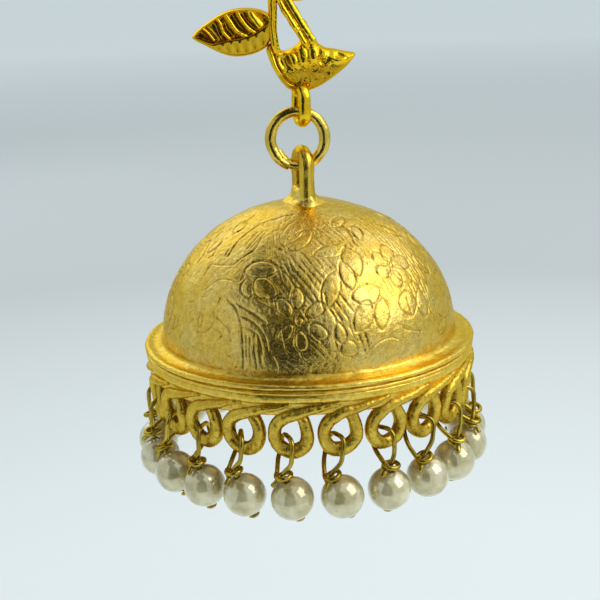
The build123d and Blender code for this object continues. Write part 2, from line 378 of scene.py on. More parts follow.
def lathe(profile, columns, centre=(0.0, HANG_Y, RIM_Z), closed=True, rough=(), seed=0, painted_shade=None):
    """A body turned round an upright axis; the profile (radius, height) runs down its outside."""
    rows = len(profile)
    turn = round_turn(columns)
    radius, height = profile[:, :1], profile[:, 1:]
    around = np.stack(np.broadcast_arrays(radius * np.sin(turn), -radius * np.cos(turn), height), -1)
    edge = np.gradient(profile, axis=0)
    out, rise = unit(np.stack([-edge[:, 1], edge[:, 0]], -1)).T[..., None]
    normal = np.stack(np.broadcast_arrays(out * np.sin(turn), -out * np.cos(turn), rise), -1)
    points = around + normal * roughness(around, seed, *rough)[..., None] + np.asarray(centre)
    faces = [strip_faces(rows, columns)[:, ::-1]]
    if closed:
        faces.append(band((rows - 1) * columns + np.arange(columns), np.arange(columns))[:, ::-1])
    grain = np.stack(np.broadcast_arrays(along(profile)[:, None], turn * radius.max(), 0.0), -1)
    # painted shade by row of the profile, none unless given
    painted_shade = np.broadcast_to((np.zeros(rows) if painted_shade is None else painted_shade)[:, None], (rows, columns))
    return points.reshape(-1, 3), faces, {"grain": grain.reshape(-1, 3), "painted_shade": painted_shade.ravel()}


def distance_to(points, line):
    """Distance of 2-D points to a line through corners."""
    nearest = np.full(len(points), 99.0)
    for start, end in zip(line[:-1], line[1:]):
        step = end - start
        share = np.clip((points - start) @ step / max(step @ step, 1e-12), 0, 1)
        nearest = np.minimum(nearest, np.linalg.norm(points - start - share[:, None] * step, axis=1))
    return nearest


def bell_point(azimuth, radius, height):
    """Points round the bell's axis; azimuths are radians here."""
    return np.stack([radius * np.sin(azimuth), HANG_Y - radius * np.cos(azimuth), RIM_Z + height], -1)


# ------------------------------------------------------------------ materials
EDGE_TINT = (0.96, 0.79, 0.34, 1.0)
STREAK_STRETCH = (0.08, 1.0, 1.0)


class Surface:
    """A Principled material with short calls for the nodes that feed it. Sizes are millimetres."""

    def __init__(self, name, **inputs):
        self.material = bpy.data.materials.new(name)
        self.material.use_nodes = True
        self.tree = self.material.node_tree
        self.shader = self.tree.nodes["Principled BSDF"]
        if inputs.get("Metallic") == 1.0:
            inputs["Specular_Tint"] = EDGE_TINT
        self.set_inputs(self.shader, inputs)
        self.place = self.new("ShaderNodeTexCoord").outputs["Object"]

    @staticmethod
    def set_inputs(node, inputs):
        for key, value in inputs.items():
            node.inputs[key.replace("_", " ")].default_value = value

    def new(self, kind, **inputs):
        node = self.tree.nodes.new(kind)
        self.set_inputs(node, inputs)
        return node

    def feed(self, value, target):
        """Links a socket to a target, or sets the target to a number or a colour."""
        if isinstance(value, bpy.types.NodeSocket):
            self.tree.links.new(value, target)
        elif isinstance(value, tuple):
            target.default_value = (*value, 1.0)
        else:
            target.default_value = value

    def attribute(self, name, output="Fac"):
        node = self.new("ShaderNodeAttribute")
        node.attribute_name = name
        return node.outputs[output]

    def noise(self, size, detail=2.0, low=0.3, high=0.7, where=None):
        """Noise of a feature size, spread over 0 to 1; where is a socket of coordinates in millimetres."""
        scale = 1 / (size * MM) if where is None else 1 / size
        node = self.new("ShaderNodeTexNoise", Scale=scale, Detail=detail)
        self.feed(self.place if where is None else where, node.inputs["Vector"])
        return self.spread(node.outputs["Fac"], low, high)

    def spread(self, value, low, high, to_low=0.0, to_high=1.0):
        """A value taken smoothly from one range to another."""
        node = self.new("ShaderNodeMapRange", From_Min=low, From_Max=high, To_Min=to_low, To_Max=to_high)
        node.interpolation_type = "SMOOTHSTEP"
        self.feed(value, node.inputs["Value"])
        return node.outputs[0]

    def specks(self, size, share):
        """Small separate spots: 1 inside a spot, 0 outside."""
        node = self.new("ShaderNodeTexVoronoi", Scale=1 / (size * MM))
        self.feed(self.place, node.inputs["Vector"])
        return self.spread(node.outputs["Distance"], share, share * 0.5)

    def mix(self, factor, first, second):
        """Two colours mixed by a factor."""
        node = self.new("ShaderNodeMix")
        node.data_type = "RGBA"
        targets = [node.inputs[0]] + [socket for socket in node.inputs if socket.type == "RGBA"]
        for value, target in zip((factor, first, second), targets):
            self.feed(value, target)
        return [socket for socket in node.outputs if socket.type == "RGBA"][0]

    def scaled(self, value, factor):
        node = self.new("ShaderNodeMath")
        node.operation = "MULTIPLY"
        self.feed(value, node.inputs[0])
        self.feed(factor, node.inputs[1])
        return node.outputs[0]

    def bumps(self, *layers):
        """A normal from layers of (height, depth)."""
        normal = None
        for height, depth in layers:
            node = self.new("ShaderNodeBump", Distance=depth * MM, Strength=1.0)
            self.feed(height, node.inputs["Height"])
            if normal is not None:
                self.feed(normal, node.inputs["Normal"])
            normal = node.outputs[0]
        return normal

    def use(self, **sockets):
        for key, value in sockets.items():
            self.feed(value, self.shader.inputs[key.replace("_", " ")])
        return self.material


def cast_gold(name, light, deep, darkening_and_painted_shade, rough, grain_depth,
              grain_size=0.16, pits=0.12, coat=0.12, speckle=0.3):
    """Sand-grained plated metal: patches of two tints, painted shade in grooves and recesses, fine grain and
    a few pits.
    """
    surface = Surface(name, Metallic=1.0, Coat_Weight=coat, Coat_IOR=1.75, Coat_Roughness=0.20)
    patches = surface.noise(2.4, 3.0, low=0.35, high=0.65)
    mottle = surface.noise(0.5, 3.0)
    # painted shade: each point's stored amount darkens the colour towards the dark tint in grooves and
    # recesses
    hollow = surface.spread(surface.attribute("painted_shade"), 0.0, 1.0, 0.0, 0.6)
    grain = surface.noise(grain_size, 3.0, low=0.25, high=0.75)
    fine = surface.noise(grain_size * 0.4, low=0.25, high=0.75)
    sand = surface.noise(grain_size * 0.75, 1.0, low=0.5, high=0.64)
    pit = surface.specks(0.9, pits)
    colour = surface.mix(patches, light, deep)
    colour = surface.mix(surface.scaled(mottle, 0.35), colour, darkening_and_painted_shade)
    colour = surface.mix(hollow, colour, darkening_and_painted_shade)
    colour = surface.mix(surface.scaled(sand, speckle), colour, darkening_and_painted_shade)
    colour = surface.mix(surface.scaled(pit, 0.6), colour, tuple(0.35 * part for part in darkening_and_painted_shade))
    return surface.use(
        Base_Color=colour,
        Roughness=surface.spread(grain, 0.0, 1.0, *rough),
        Normal=surface.bumps((grain, grain_depth), (fine, grain_depth * 0.45)),
    )


def polished_gold(name, light, deep, darkening_and_painted_shade, rough, streak_depth, streak_tint=0.4):
    """Bright plated metal with drawn streaks along the grain, soft dents and painted shade in recesses."""
    surface = Surface(name, Metallic=1.0)
    drawn = surface.new("ShaderNodeMapping", Scale=STREAK_STRETCH)
    surface.feed(surface.attribute("grain", "Vector"), drawn.inputs["Vector"])
    streaks = surface.noise(0.35, 3.0, where=drawn.outputs[0])
    patches = surface.noise(1.6, low=0.35, high=0.65)
    fine = surface.noise(0.12)
    # painted shade: each point's stored amount darkens the colour towards the dark tint in recesses
    hollow = surface.spread(surface.attribute("painted_shade"), 0.0, 1.0)
    colour = surface.mix(patches, light, deep)
    colour = surface.mix(surface.scaled(streaks, streak_tint), colour, darkening_and_painted_shade)
    return surface.use(
        Base_Color=surface.mix(hollow, colour, darkening_and_painted_shade),
        Roughness=surface.spread(streaks, 0.0, 1.0, *rough),
        Normal=surface.bumps((streaks, streak_depth), (fine, streak_depth * 0.35)),
    )


def pearl_lacquer():
    """Faux pearl: warm white lacquer with a silky sheen, cloudy patches and a few scuffs."""
    surface = Surface("pearl_lacquer", Metallic=0.36, IOR=1.6,
                      Coat_Weight=1.0, Coat_IOR=1.9, Coat_Roughness=0.05)
    cloud = surface.noise(1.3, 3.0)
    scuff = surface.scaled(surface.specks(1.1, 0.10), 0.5)
    fine = surface.noise(0.35, 3.0)
    body = surface.mix(cloud, (0.76, 0.695, 0.43), (0.49, 0.405, 0.16))
    return surface.use(
        Base_Color=surface.mix(scuff, body, (0.30, 0.24, 0.15)),
        Roughness=surface.spread(fine, 0.0, 1.0, 0.13, 0.23),
        Normal=surface.bumps((fine, 0.006)),
    )


# Each gold: its light and deep tint, its dark tint for mottle, sand, streaks and pits that also gives the
# painted shade in recesses, its roughness range, the depth of its grain or streaks
MATERIALS = {
    "dome": cast_gold("matte_gold_dome", (0.96, 0.71, 0.185), (0.94, 0.63, 0.10), (0.38, 0.20, 0.015),
                      (0.16, 0.26), 0.010, coat=0.14, speckle=0.42),
    "rim": cast_gold("matte_gold_rim", (0.94, 0.71, 0.135), (0.91, 0.645, 0.08), (0.58, 0.32, 0.03),
                     (0.27, 0.38), 0.008, grain_size=0.26),
    "skirt": cast_gold("matte_gold_skirt", (0.82, 0.58, 0.07), (0.70, 0.465, 0.045), (0.34, 0.19, 0.013),
                       (0.24, 0.38), 0.015, grain_size=0.24, pits=0.09),
    "loop": polished_gold("bell_loop_gold", (0.94, 0.64, 0.08), (0.86, 0.54, 0.05), (0.32, 0.17, 0.015),
                          (0.15, 0.27), 0.022, streak_tint=0.6),
    "solder": cast_gold("solder_gold", (0.93, 0.70, 0.16), (0.86, 0.60, 0.09), (0.50, 0.30, 0.04),
                        (0.22, 0.36), 0.010, grain_size=0.30, coat=0.1),
    "ring": polished_gold("jump_ring_gold", (0.92, 0.68, 0.13), (0.84, 0.57, 0.08), (0.34, 0.19, 0.02),
                          (0.08, 0.18), 0.012),
    "bright": polished_gold("bright_gold", (0.97, 0.64, 0.03), (0.93, 0.58, 0.02), (0.56, 0.33, 0.015),
                            (0.13, 0.22), 0.004, streak_tint=0.12),
    "wire": polished_gold("antique_wire", (0.64, 0.475, 0.075), (0.47, 0.33, 0.045), (0.10, 0.06, 0.012),
                          (0.15, 0.28), 0.008),
    "pearl": pearl_lacquer(),
}


# ------------------------------------------------------------------ dome and its engraving
CELL = 0.05
GROOVE_HALF_WIDTH = 0.075
FINE_HALF_WIDTH = GROOVE_HALF_WIDTH * 0.9
GROOVE_DEPTH = 0.068
HATCH_DEPTH = 0.038
SCRATCH_DEPTH = 0.020
SCRATCH_COUNT = 150
PIT_COUNT = 90
CROWN_R = 0.8
# Height over the base where the cuts reach their full depth
UNCUT_BASE = 0.45

# The dome's outline, from the base to the crown, by length along it
_lift = np.linspace(0, np.pi / 2, 1500)
_outline = np.stack([DOME_R * np.cos(_lift), DOME_BASE_Z + DOME_HEIGHT * np.sin(_lift)], -1)
OUTLINE_LENGTH = along(_outline)
OUTLINE_R, OUTLINE_Z = _outline.T
ARC = OUTLINE_LENGTH[-1]

# Leaves: azimuth, height along the outline, length, width, slope from level, veined
LEAVES = (
    (-9.5, 14.3, 3.9, 1.9, 80, True), (-3, 13.2, 3.3, 1.7, 52, True), (14, 11.6, 3.0, 1.5, 12, False),
    (23.5, 10.3, 3.0, 1.9, 98, False), (18.5, 8.9, 2.8, 1.4, 98, False), (10, 7.7, 3.7, 1.7, 66, False),
    (25, 6.8, 3.2, 1.9, 9, False), (21.5, 4.9, 3.1, 1.8, 50, False), (29.5, 4.9, 3.0, 1.6, 74, False),
    (43.5, 5.2, 2.4, 2.1, 89, True), (51.5, 4.8, 2.7, 1.5, 76, False), (11.5, 3.7, 1.9, 1.0, 95, False),
    (-26.3, 7.8, 1.9, 1.3, 112, False), (-46, 4.2, 1.3, 0.7, 85, False), (66, 8.0, 2.6, 1.4, 110, True),
    (75, 5.4, 2.8, 1.5, 60, False), (-77, 6.2, 2.6, 1.4, 115, True), (-63, 11.3, 2.0, 1.1, 80, False),
    (-68, 2.6, 2.4, 1.3, 60, False), (31, 15.3, 2.2, 1.1, 40, False), (38, 13.4, 2.0, 1.1, 70, False),
    (-60, 14.2, 2.2, 1.2, 110, False), (84, 9.8, 2.4, 1.3, 80, False), (68, 12.2, 2.2, 1.2, 120, False),
    (-84, 10.4, 2.4, 1.3, 70, True), (62, 1.9, 2.4, 1.2, 20, False), (88, 3.6, 2.8, 1.5, 65, True),
    (105, 4.3, 2.6, 1.5, 120, True), (101, 11.9, 2.4, 1.3, 45, False), (94, 13.6, 2.2, 1.2, 110, True),
)
# Ovals: azimuth, height along the outline, length, width, slope from level
OVALS = (
    (-22.5, 9.7, 3.0, 1.7, 10), (-18.6, 7.9, 2.6, 1.8, 152), (-4.3, 7.0, 2.0, 1.15, 93),
    (-9.6, 6.2, 1.9, 1.3, 128), (-8.6, 3.9, 1.9, 1.1, 55), (-2.8, 3.2, 1.9, 1.1, 97),
    (3.6, 4.0, 1.9, 1.1, 135), (2.8, 5.9, 1.9, 1.2, 35), (-3.2, 5.0, 0.6, 0.6, 0), (14.2, 2.3, 1.6, 1.4, 0),
    (46.8, 10.3, 2.0, 1.5, 64), (39.6, 9.9, 1.8, 1.4, 139), (50.9, 9.0, 2.2, 1.6, 177),
    (47.8, 7.9, 2.2, 1.6, 125), (38.2, 8.7, 1.7, 1.5, 19), (42.8, 7.7, 1.8, 1.4, 89),
    (43.8, 9.1, 0.6, 0.6, 0), (97, 8.9, 2.0, 1.3, 90), (104, 7.8, 2.0, 1.3, 18),
    (101.3, 6.0, 2.0, 1.3, 126), (92.7, 6.0, 2.0, 1.3, 54), (90, 7.8, 2.0, 1.3, 162),
    (97, 7.3, 0.6, 0.6, 0),
)
# Single strokes through points (azimuth, height along the outline)
STROKES = (
    ((-48.5, 11.3), (-48, 10.7), (-46, 10.7), (-46.5, 11.7), (-46.5, 12.8), (-45, 13.7), (-43, 14.8),
     (-39, 15.6), (-32, 16.2), (-25, 16.8), (-14, 17.0)),
    ((-54.5, 8.2), (-54.3, 9.0), (-54, 9.4), (-48.5, 9.6), (-42, 9.8), (-39, 10.0), (-36, 10.6),
     (-33.3, 11.2), (-31, 11.7), (-30.3, 12.5), (-31, 13.2)),
    ((-50, 6.9), (-47.5, 7.4), (-45.3, 7.9), (-42, 8.3), (-37.5, 8.4), (-32, 8.3), (-30.5, 8.7),
     (-30.5, 9.4)),
    ((-70, 11.0), (-67.5, 10.2), (-66, 9.6), (-66.5, 9.0)),
    ((-59.5, 11.0), (-57.5, 10.3), (-59.5, 9.9)),
    ((-49, 6.3), (-46, 6.5)),
    ((-56.3, 5.4), (-53.3, 5.7)),
    ((-49.3, 4.6), (-46.8, 4.9)),
    ((-53, 3.6), (-50.5, 4.1)),
    ((-61.5, 3.6), (-62, 2.9), (-64, 2.4)),
    ((-84, 13.8), (-85, 14.6), (-84, 15.5)),
    ((-61, 14.6), (-63, 15.7), (-67, 16.4)),
    ((-36, 6.8), (-32.5, 6.3), (-29.5, 5.9), (-27, 5.0), (-25.6, 4.2), (-24.8, 3.2), (-24.3, 1.9),
     (-24.2, 0.7)),
    ((-29.5, 6.3), (-26.2, 6.0), (-22.8, 5.7), (-20, 5.4), (-18, 5.1), (-16, 4.8)),
    ((-27, 5.2), (-24, 5.1), (-21.3, 4.8), (-18.5, 4.3), (-16.5, 3.7), (-15.4, 3.0), (-14.9, 2.3)),
    ((-25.6, 4.3), (-22, 4.1), (-19, 3.7), (-17.5, 2.9), (-17, 2.0)),
    ((-21.5, 6.9), (-19.5, 6.6), (-16.5, 6.3), (-14, 6.2)),
    ((-18, 7.0), (-14.5, 6.8), (-12.7, 6.5), (-12.3, 5.9)),
    ((-10.5, 3.9), (-9.3, 2.6), (-7.5, 2.2)),
    ((-13.5, 1.9), (-11.5, 0.9), (-12.5, 0.2)),
    ((-3.3, 2.3), (-2.4, 1.7), (0, 1.2)),
    ((7, 7.4), (7.6, 6.2), (9.8, 5.3), (10.3, 4.7), (9.3, 3.9), (9.3, 3.0), (10.3, 2.1)),
    ((4.2, 3.1), (6.5, 2.4), (10.3, 2.1)),
    ((20.5, 1.6), (23.5, 2.2), (27.5, 2.6), (31, 2.7), (34, 2.4)),
    ((10, 6.0), (12.5, 4.8)),
    ((11, 6.6), (15.2, 4.9)),
    ((12.8, 7.3), (18, 5.3)),
    ((18.3, 3.4), (20.2, 1.8)),
    ((20.7, 3.5), (22, 2.0)),
    ((15.2, 4.3), (16.8, 3.2)),
    ((36, 3.6), (40, 2.9), (46, 2.5)),
    ((50, 7.3), (52.5, 6.8), (54, 6.0)),
    ((60, 3.2), (66, 2.4), (72, 2.6)),
    ((-70, 4.6), (-69, 3.4), (-70.5, 2.2)),
    ((-57, 2.6), (-57.5, 1.9)),
    ((-38.3, 6.6), (-38.6, 5.9), (-39.8, 5.2), (-38.4, 4.6), (-39, 4.1), (-41, 3.5), (-44.4, 3.1),
     (-47, 3.2)),
    ((-38, 4.9), (-34, 4.3), (-30.6, 3.8), (-29.6, 2.9)),
    ((-39, 3.8), (-35.7, 3.6), (-34, 3.2), (-35.8, 2.8)),
    ((25, 14.9), (29, 14.2), (31.5, 13.7), (31, 13.0), (30, 12.1), (31, 11.6)),
    ((14, 14.6), (18, 15.0)),
    ((26, 15.3), (30, 14.6), (33, 13.6)),
    ((-22, 13.6), (-19, 12.4), (-14, 11.8)),
    ((76, 12.6), (78, 10.4), (79, 8.0)),
    ((97, 5.2), (96, 3.6), (97.5, 2.0), (101, 0.9)),
    ((99, 10.3), (101, 11.1), (106, 11.4), (110, 10.6)),
)
# Fields of parallel strokes: the points of the middle stroke, how many, how far their ends wander, spacing
HATCHES = (
    (((-6, 10.6), (0.5, 8.9), (7, 6.8)), 11, 0.9, 0.52),
    (((11, 15.3), (21, 12.4)), 7, 0.5, 0.50),
    (((-4, 2.2), (4, 0.3)), 8, 0.5, 0.50),
    (((-11, 10.9), (-7.5, 9.4)), 4, 0.3, 0.45),
    (((61, 14.6), (57.5, 11.5), (55.5, 8.8), (55, 6.2)), 8, 1.0, 0.42),
    (((61, 7.6), (58.5, 5.4), (57.5, 3.0)), 4, 0.6, 0.45),
    (((74, 13.5), (72, 10.1)), 4, 0.5, 0.5),
    (((31, 12.8), (34.5, 9.8)), 4, 0.4, 0.5),
    (((34, 8.2), (36, 6.0)), 4, 0.4, 0.48),
    (((-21, 3.4), (-20, 1.0)), 4, 0.4, 0.42),
    (((-14, 9.7), (-11.5, 8.4)), 3, 0.2, 0.45),
    (((-20, 12.9), (-16, 11.2)), 4, 0.4, 0.5),
    (((-72, 14.0), (-68, 11.8)), 4, 0.4, 0.5),
    (((5, 13.6), (9, 12.4)), 5, 0.3, 0.42),
    (((83, 7.2), (80, 3.4)), 4, 0.4, 0.5),
    (((104, 2.6), (110, 0.8)), 5, 0.4, 0.45),
    (((86, 11.4), (88, 9.6)), 4, 0.3, 0.45),
    (((-86, 8.6), (-83, 4.4)), 4, 0.5, 0.5),
    (((-36, 11.9), (-33, 14.0)), 3, 0.4, 0.5),
)


def dome_radius(height):
    """Radius of the dome at a height along its outline."""
    return np.interp(height, OUTLINE_LENGTH, OUTLINE_R)


def on_dome(azimuth, height, across, up):
    """Places (azimuth, height along the outline) of points by their distances from one place."""
    return np.stack([azimuth + np.degrees(across / dome_radius(height)), height + up], -1)


class Engraving:
    """Depth maps over the dome's outline, one cell wide and high each CELL."""

    def __init__(self):
        self.random = np.random.default_rng(SEED)
        self.columns = int(round(TURN * DOME_R / CELL))
        self.rows = int(ARC / CELL) + 2
        self.heights = np.arange(self.rows) * CELL
        self.radii = dome_radius(self.heights)
        self.groove, self.hatch, self.inside, self.swell = np.zeros((4, self.rows, self.columns))

    def window(self, line, margin):
        """Cells round a line, their places in mm from the line's middle azimuth, and that azimuth."""
        middle = np.radians((line[:, 0].min() + line[:, 0].max()) / 2)
        low, high = line[:, 1].min() - margin, line[:, 1].max() + margin
        row = np.arange(max(0, int(low / CELL)), min(self.rows, int(high / CELL) + 2))
        reach = np.radians(np.ptp(line[:, 0])) / 2 + margin / max(self.radii[row].min(), 1.5)
        first, last = (np.array([middle - reach, middle + reach]) / TURN * self.columns).astype(int)
        column = np.arange(first, last + 1)
        u = (column[None] * TURN / self.columns - middle) * self.radii[row][:, None]
        v = np.broadcast_to(self.heights[row][:, None], u.shape)
        return np.ix_(row, column % self.columns), u, v, middle

    def cut(self, line, store, depth, half_width=GROOVE_HALF_WIDTH):
        """A worn groove along a line."""
        cells, u, v, middle = self.window(line, 0.6)
        worn = 1 + 0.22 * ripple(np.stack([u, v], -1), 1.1, int(self.random.integers(1000)))
        x = (np.radians(line[:, 0]) - middle) * dome_radius(line[:, 1])
        flat = np.stack([x, line[:, 1]], -1)
        distance = distance_to(np.stack([u, v], -1).reshape(-1, 2), flat).reshape(u.shape)
        store[cells] = np.maximum(store[cells], depth * worn * np.exp(-((distance / half_width) ** 2)))

    def fill(self, line, azimuth, height, length, width, slope):
        """Marks the inside of a figure, and swells it a little."""
        cells, u, v, middle = self.window(line, 0.3)
        x = u - (np.radians(azimuth) - middle) * dome_radius(v)
        lengthwise, crosswise = turned(x, v - height, -slope)
        near = np.hypot(lengthwise / (length / 2), crosswise / (width / 2))
        self.inside[cells] = np.maximum(self.inside[cells], np.clip((1.18 - near) / 0.12, 0, 1))
        self.swell[cells] = np.maximum(self.swell[cells], np.clip(1 - near**2, 0, 1))

    def figure(self, azimuth, height, length, width, slope, pointed):
        """A leaf or an oval, pushed a little out of shape."""
        angle = np.linspace(0, TURN, 37)
        a = np.cos(angle) * length / 2
        b = np.sign(np.sin(angle)) * np.abs(np.sin(angle)) ** (1.5 if pointed else 1.0) * width / 2
        push = 1 + 0.05 * np.sin(2 * angle + self.random.uniform(0, TURN))
        push += 0.04 * np.sin(3 * angle + self.random.uniform(0, TURN))
        line = on_dome(azimuth, height, *turned(a * push, b * push, slope))
        self.cut(line, self.groove, GROOVE_DEPTH)
        self.fill(line, azimuth, height, length, width * (0.8 if pointed else 1.0), slope)

    def vein(self, azimuth, height, length, slope):
        forth, aside = np.array([-0.5, -0.15, 0.25]) * length, np.array([0, 0.03, 0]) * length
        bend = np.stack(turned(forth, aside, slope), -1)
        self.cut(on_dome(azimuth, height, *smooth_line(bend, 0.3).T), self.groove, GROOVE_DEPTH * 0.8)

    def hatching(self, corners, count, wander, spacing, turn_deg):
        """A field of wavering parallel strokes."""
        azimuths, heights = np.array(corners, float).T
        middle = np.radians(azimuths.mean())
        flat = np.stack([(np.radians(azimuths) - middle) * dome_radius(heights), heights], -1)
        way = unit(flat[-1] - flat[0])
        across = np.array([-way[1], way[0]])
        for k in range(count):
            shifted = flat + across * ((k - (count - 1) / 2) * spacing + self.random.normal() * 0.05)
            ends = self.random.normal(size=2) * wander * 0.5
            shifted[0] += way * ends[0]
            shifted[-1] += way * ends[1]
            line = smooth_line(shifted, 0.5)
            line += across * 0.05 * np.sin(along(line) * 2.2 + self.random.uniform(0, TURN))[:, None]
            line = line[(line[:, 1] > 0.3) & (line[:, 1] < ARC - 2.5)]
            if len(line) > 1:
                azimuth = np.degrees(middle + line[:, 0] / dome_radius(line[:, 1])) + turn_deg
                self.cut(np.stack([azimuth, line[:, 1]], -1), self.hatch, HATCH_DEPTH, FINE_HALF_WIDTH)

    def ornament(self, turn_deg, stir):
        """The whole ornament, turned round the bell; stir 1 moves each figure a little, 0 none."""
        def stirred(amount):
            return stir * self.random.normal() * amount

        for azimuth, height, length, width, slope, veined in LEAVES:
            azimuth, height = azimuth + turn_deg + stirred(1.2), height + stirred(0.2)
            slope, length = slope + stirred(9), length * (1 + stirred(0.06))
            self.figure(azimuth, height, length, width, slope, pointed=True)
            if veined:
                self.vein(azimuth, height, length, slope)
        for azimuth, height, length, width, slope in OVALS:
            self.figure(azimuth + turn_deg, height, length, width, slope + stirred(8), pointed=False)
        for stroke in STROKES:
            line = smooth_line(stroke, 0.8)
            line[:, 0] += turn_deg + stirred(1.0)
            self.cut(line, self.groove, GROOVE_DEPTH)
        for field in HATCHES:
            self.hatching(*field, turn_deg)

    def scratch(self):
        """A faint bent scratch anywhere."""
        azimuth, height = self.random.uniform(0, 360), self.random.uniform(0.6, ARC - 4.5)
        slope = self.random.uniform(0, np.pi)
        reach, bend = self.random.uniform(0.3, 0.9), self.random.normal() * 0.15
        local = np.stack(turned(np.array([-reach, 0, reach]), np.array([0, bend, 0]), np.degrees(slope)), -1)
        line = on_dome(azimuth, height, *smooth_line(local, 0.3).T)
        self.cut(line, self.hatch, SCRATCH_DEPTH, FINE_HALF_WIDTH)

    def pit(self):
        """A small round hole of the casting."""
        azimuth, height = self.random.uniform(0, 360), self.random.uniform(0.6, ARC - 4)
        cells, u, v, _ = self.window(np.array([[azimuth, height]]), 0.5)
        size, depth = self.random.uniform(0.05, 0.12), self.random.uniform(0.04, 0.10)
        hole = depth * np.exp(-((u**2 + (v - height) ** 2) / size**2))
        self.groove[cells] = np.maximum(self.groove[cells], hole)

    def maps(self):
        """Depth of the cuts, and swell of the figures, both faded out at the base."""
        self.ornament(0, 0.0)
        self.ornament(180, 1.0)
        for _ in range(SCRATCH_COUNT):
            self.scratch()
        self.groove = np.maximum(self.groove, self.hatch * (1 - self.inside))
        for _ in range(PIT_COUNT):
            self.pit()
        fade = np.clip(self.heights / UNCUT_BASE, 0, 1)[:, None]
        return self.groove * fade, self.swell * fade


def sampled(raster, azimuth, height):
    """Values of a depth map between its cells; azimuths are radians here."""
    rows, columns = raster.shape
    x = np.mod(azimuth / TURN * columns, columns)
    y = np.clip(height / CELL, 0, rows - 1.001)
    j, i = np.floor(x).astype(int), np.floor(y).astype(int)
    fx, fy = x - j, y - i
    j, following = j % columns, (j + 1) % columns
    low = raster[i, j] * (1 - fx) + raster[i, following] * fx
    high = raster[i + 1, j] * (1 - fx) + raster[i + 1, following] * fx
    return low * (1 - fy) + high * fy


def dome_point(azimuth, height, out):
    """Points proud of the dome's outline by out, at azimuths in radians."""
    radius, z = dome_radius(height), np.interp(height, OUTLINE_LENGTH, OUTLINE_Z)
    way = unit(np.stack([radius / DOME_R**2, (z - DOME_BASE_Z) / DOME_HEIGHT**2], -1))
    return bell_point(azimuth, radius + out * way[..., 0], z + out * way[..., 1])


DOME_COLUMNS = 480
DOME_ROW = 0.092
# Columns are halved where they get narrower than this share of a row
NARROWEST = 0.48
# How far the engraved figures swell, and the height over the base where all unevenness is at its full
FIGURE_SWELL = 0.022
EVEN_BASE = 0.4
INNER_COLUMNS = 90
INNER_ROWS = 22
# Painted shade over the inside wall of the shell
INNER_PAINTED_SHADE = 0.25


def dome_half(start, grooves, swell):
    """Half of the dome's shell, from an azimuth in radians through half a turn."""
    top = np.interp(-CROWN_R, -OUTLINE_R, OUTLINE_LENGTH)
    azimuths, levels, rows, faces, count, total = [], [], [], [], DOME_COLUMNS, 0
    for height in np.linspace(0, top, int(top / DOME_ROW) + 1):
        if count % 2 == 0 and np.pi * dome_radius(height) / count < NARROWEST * DOME_ROW:
            count //= 2
        rows.append(total + np.arange(count + 1))
        azimuths.append(start + np.pi * np.arange(count + 1) / count)
        levels.append(np.full(count + 1, height))
        total += count + 1
    for low, high in zip(rows, rows[1:]):
        if len(low) == len(high):
            faces.append(np.stack([low[:-1], low[1:], high[1:], high[:-1]], -1))
        else:
            a, b, c = low[:-2:2], low[1:-1:2], low[2::2]
            faces += [np.stack([a, b, high[:-1]], -1), np.stack([b, high[1:], high[:-1]], -1),
                      np.stack([b, c, high[1:]], -1)]
    azimuth, level = np.concatenate(azimuths), np.concatenate(levels)
    groove = sampled(grooves, azimuth, level)
    dents = roughness(dome_point(azimuth, level, 0.0), 1, (5.0, 0.022), (1.3, 0.010), (0.45, 0.005))
    raised = np.clip(level / EVEN_BASE, 0, 1) * (dents + FIGURE_SWELL * sampled(swell, azimuth, level))
    outer = dome_point(azimuth, level, raised - groove)

    columns = start + np.pi * np.arange(INNER_COLUMNS + 1) / INNER_COLUMNS
    inner = dome_point(*np.meshgrid(columns, np.linspace(0, top, INNER_ROWS)), -DOME_WALL).reshape(-1, 3)
    index = total + np.arange(len(inner)).reshape(INNER_ROWS, INNER_COLUMNS + 1)
    quads = np.stack([index[:-1, :-1], index[1:, :-1], index[1:, 1:], index[:-1, 1:]], -1)
    faces.append(quads.reshape(-1, 4))
    # the base, the crown and the two upright ends close the shell
    left, right = np.array([(row[0], row[-1]) for row in rows]).T
    for outside, inside in (
        (rows[0][::-1], index[0]), (rows[-1], index[-1][::-1]),
        (left, index[::-1, 0]), (right[::-1], index[:, -1]),
    ):
        faces.append(np.concatenate([outside, inside])[None])
    # painted shade: darker by the depth of the grooves, scratches and pits, and evenly darker on the inside
    # wall
    painted_shade = np.concatenate([np.clip(groove / GROOVE_DEPTH, 0, 1.3), np.full(len(inner), INNER_PAINTED_SHADE)])
    return np.concatenate([outer, inner]), faces, {"painted_shade": painted_shade}


engraved = Engraving().maps()
for half_name, half_start in (("dome_front", -np.pi / 2), ("dome_back", np.pi / 2)):
    half = dome_half(half_start, *engraved)
    add_piece(half_name, half, MATERIALS["dome"], "bell", "bell", 50)


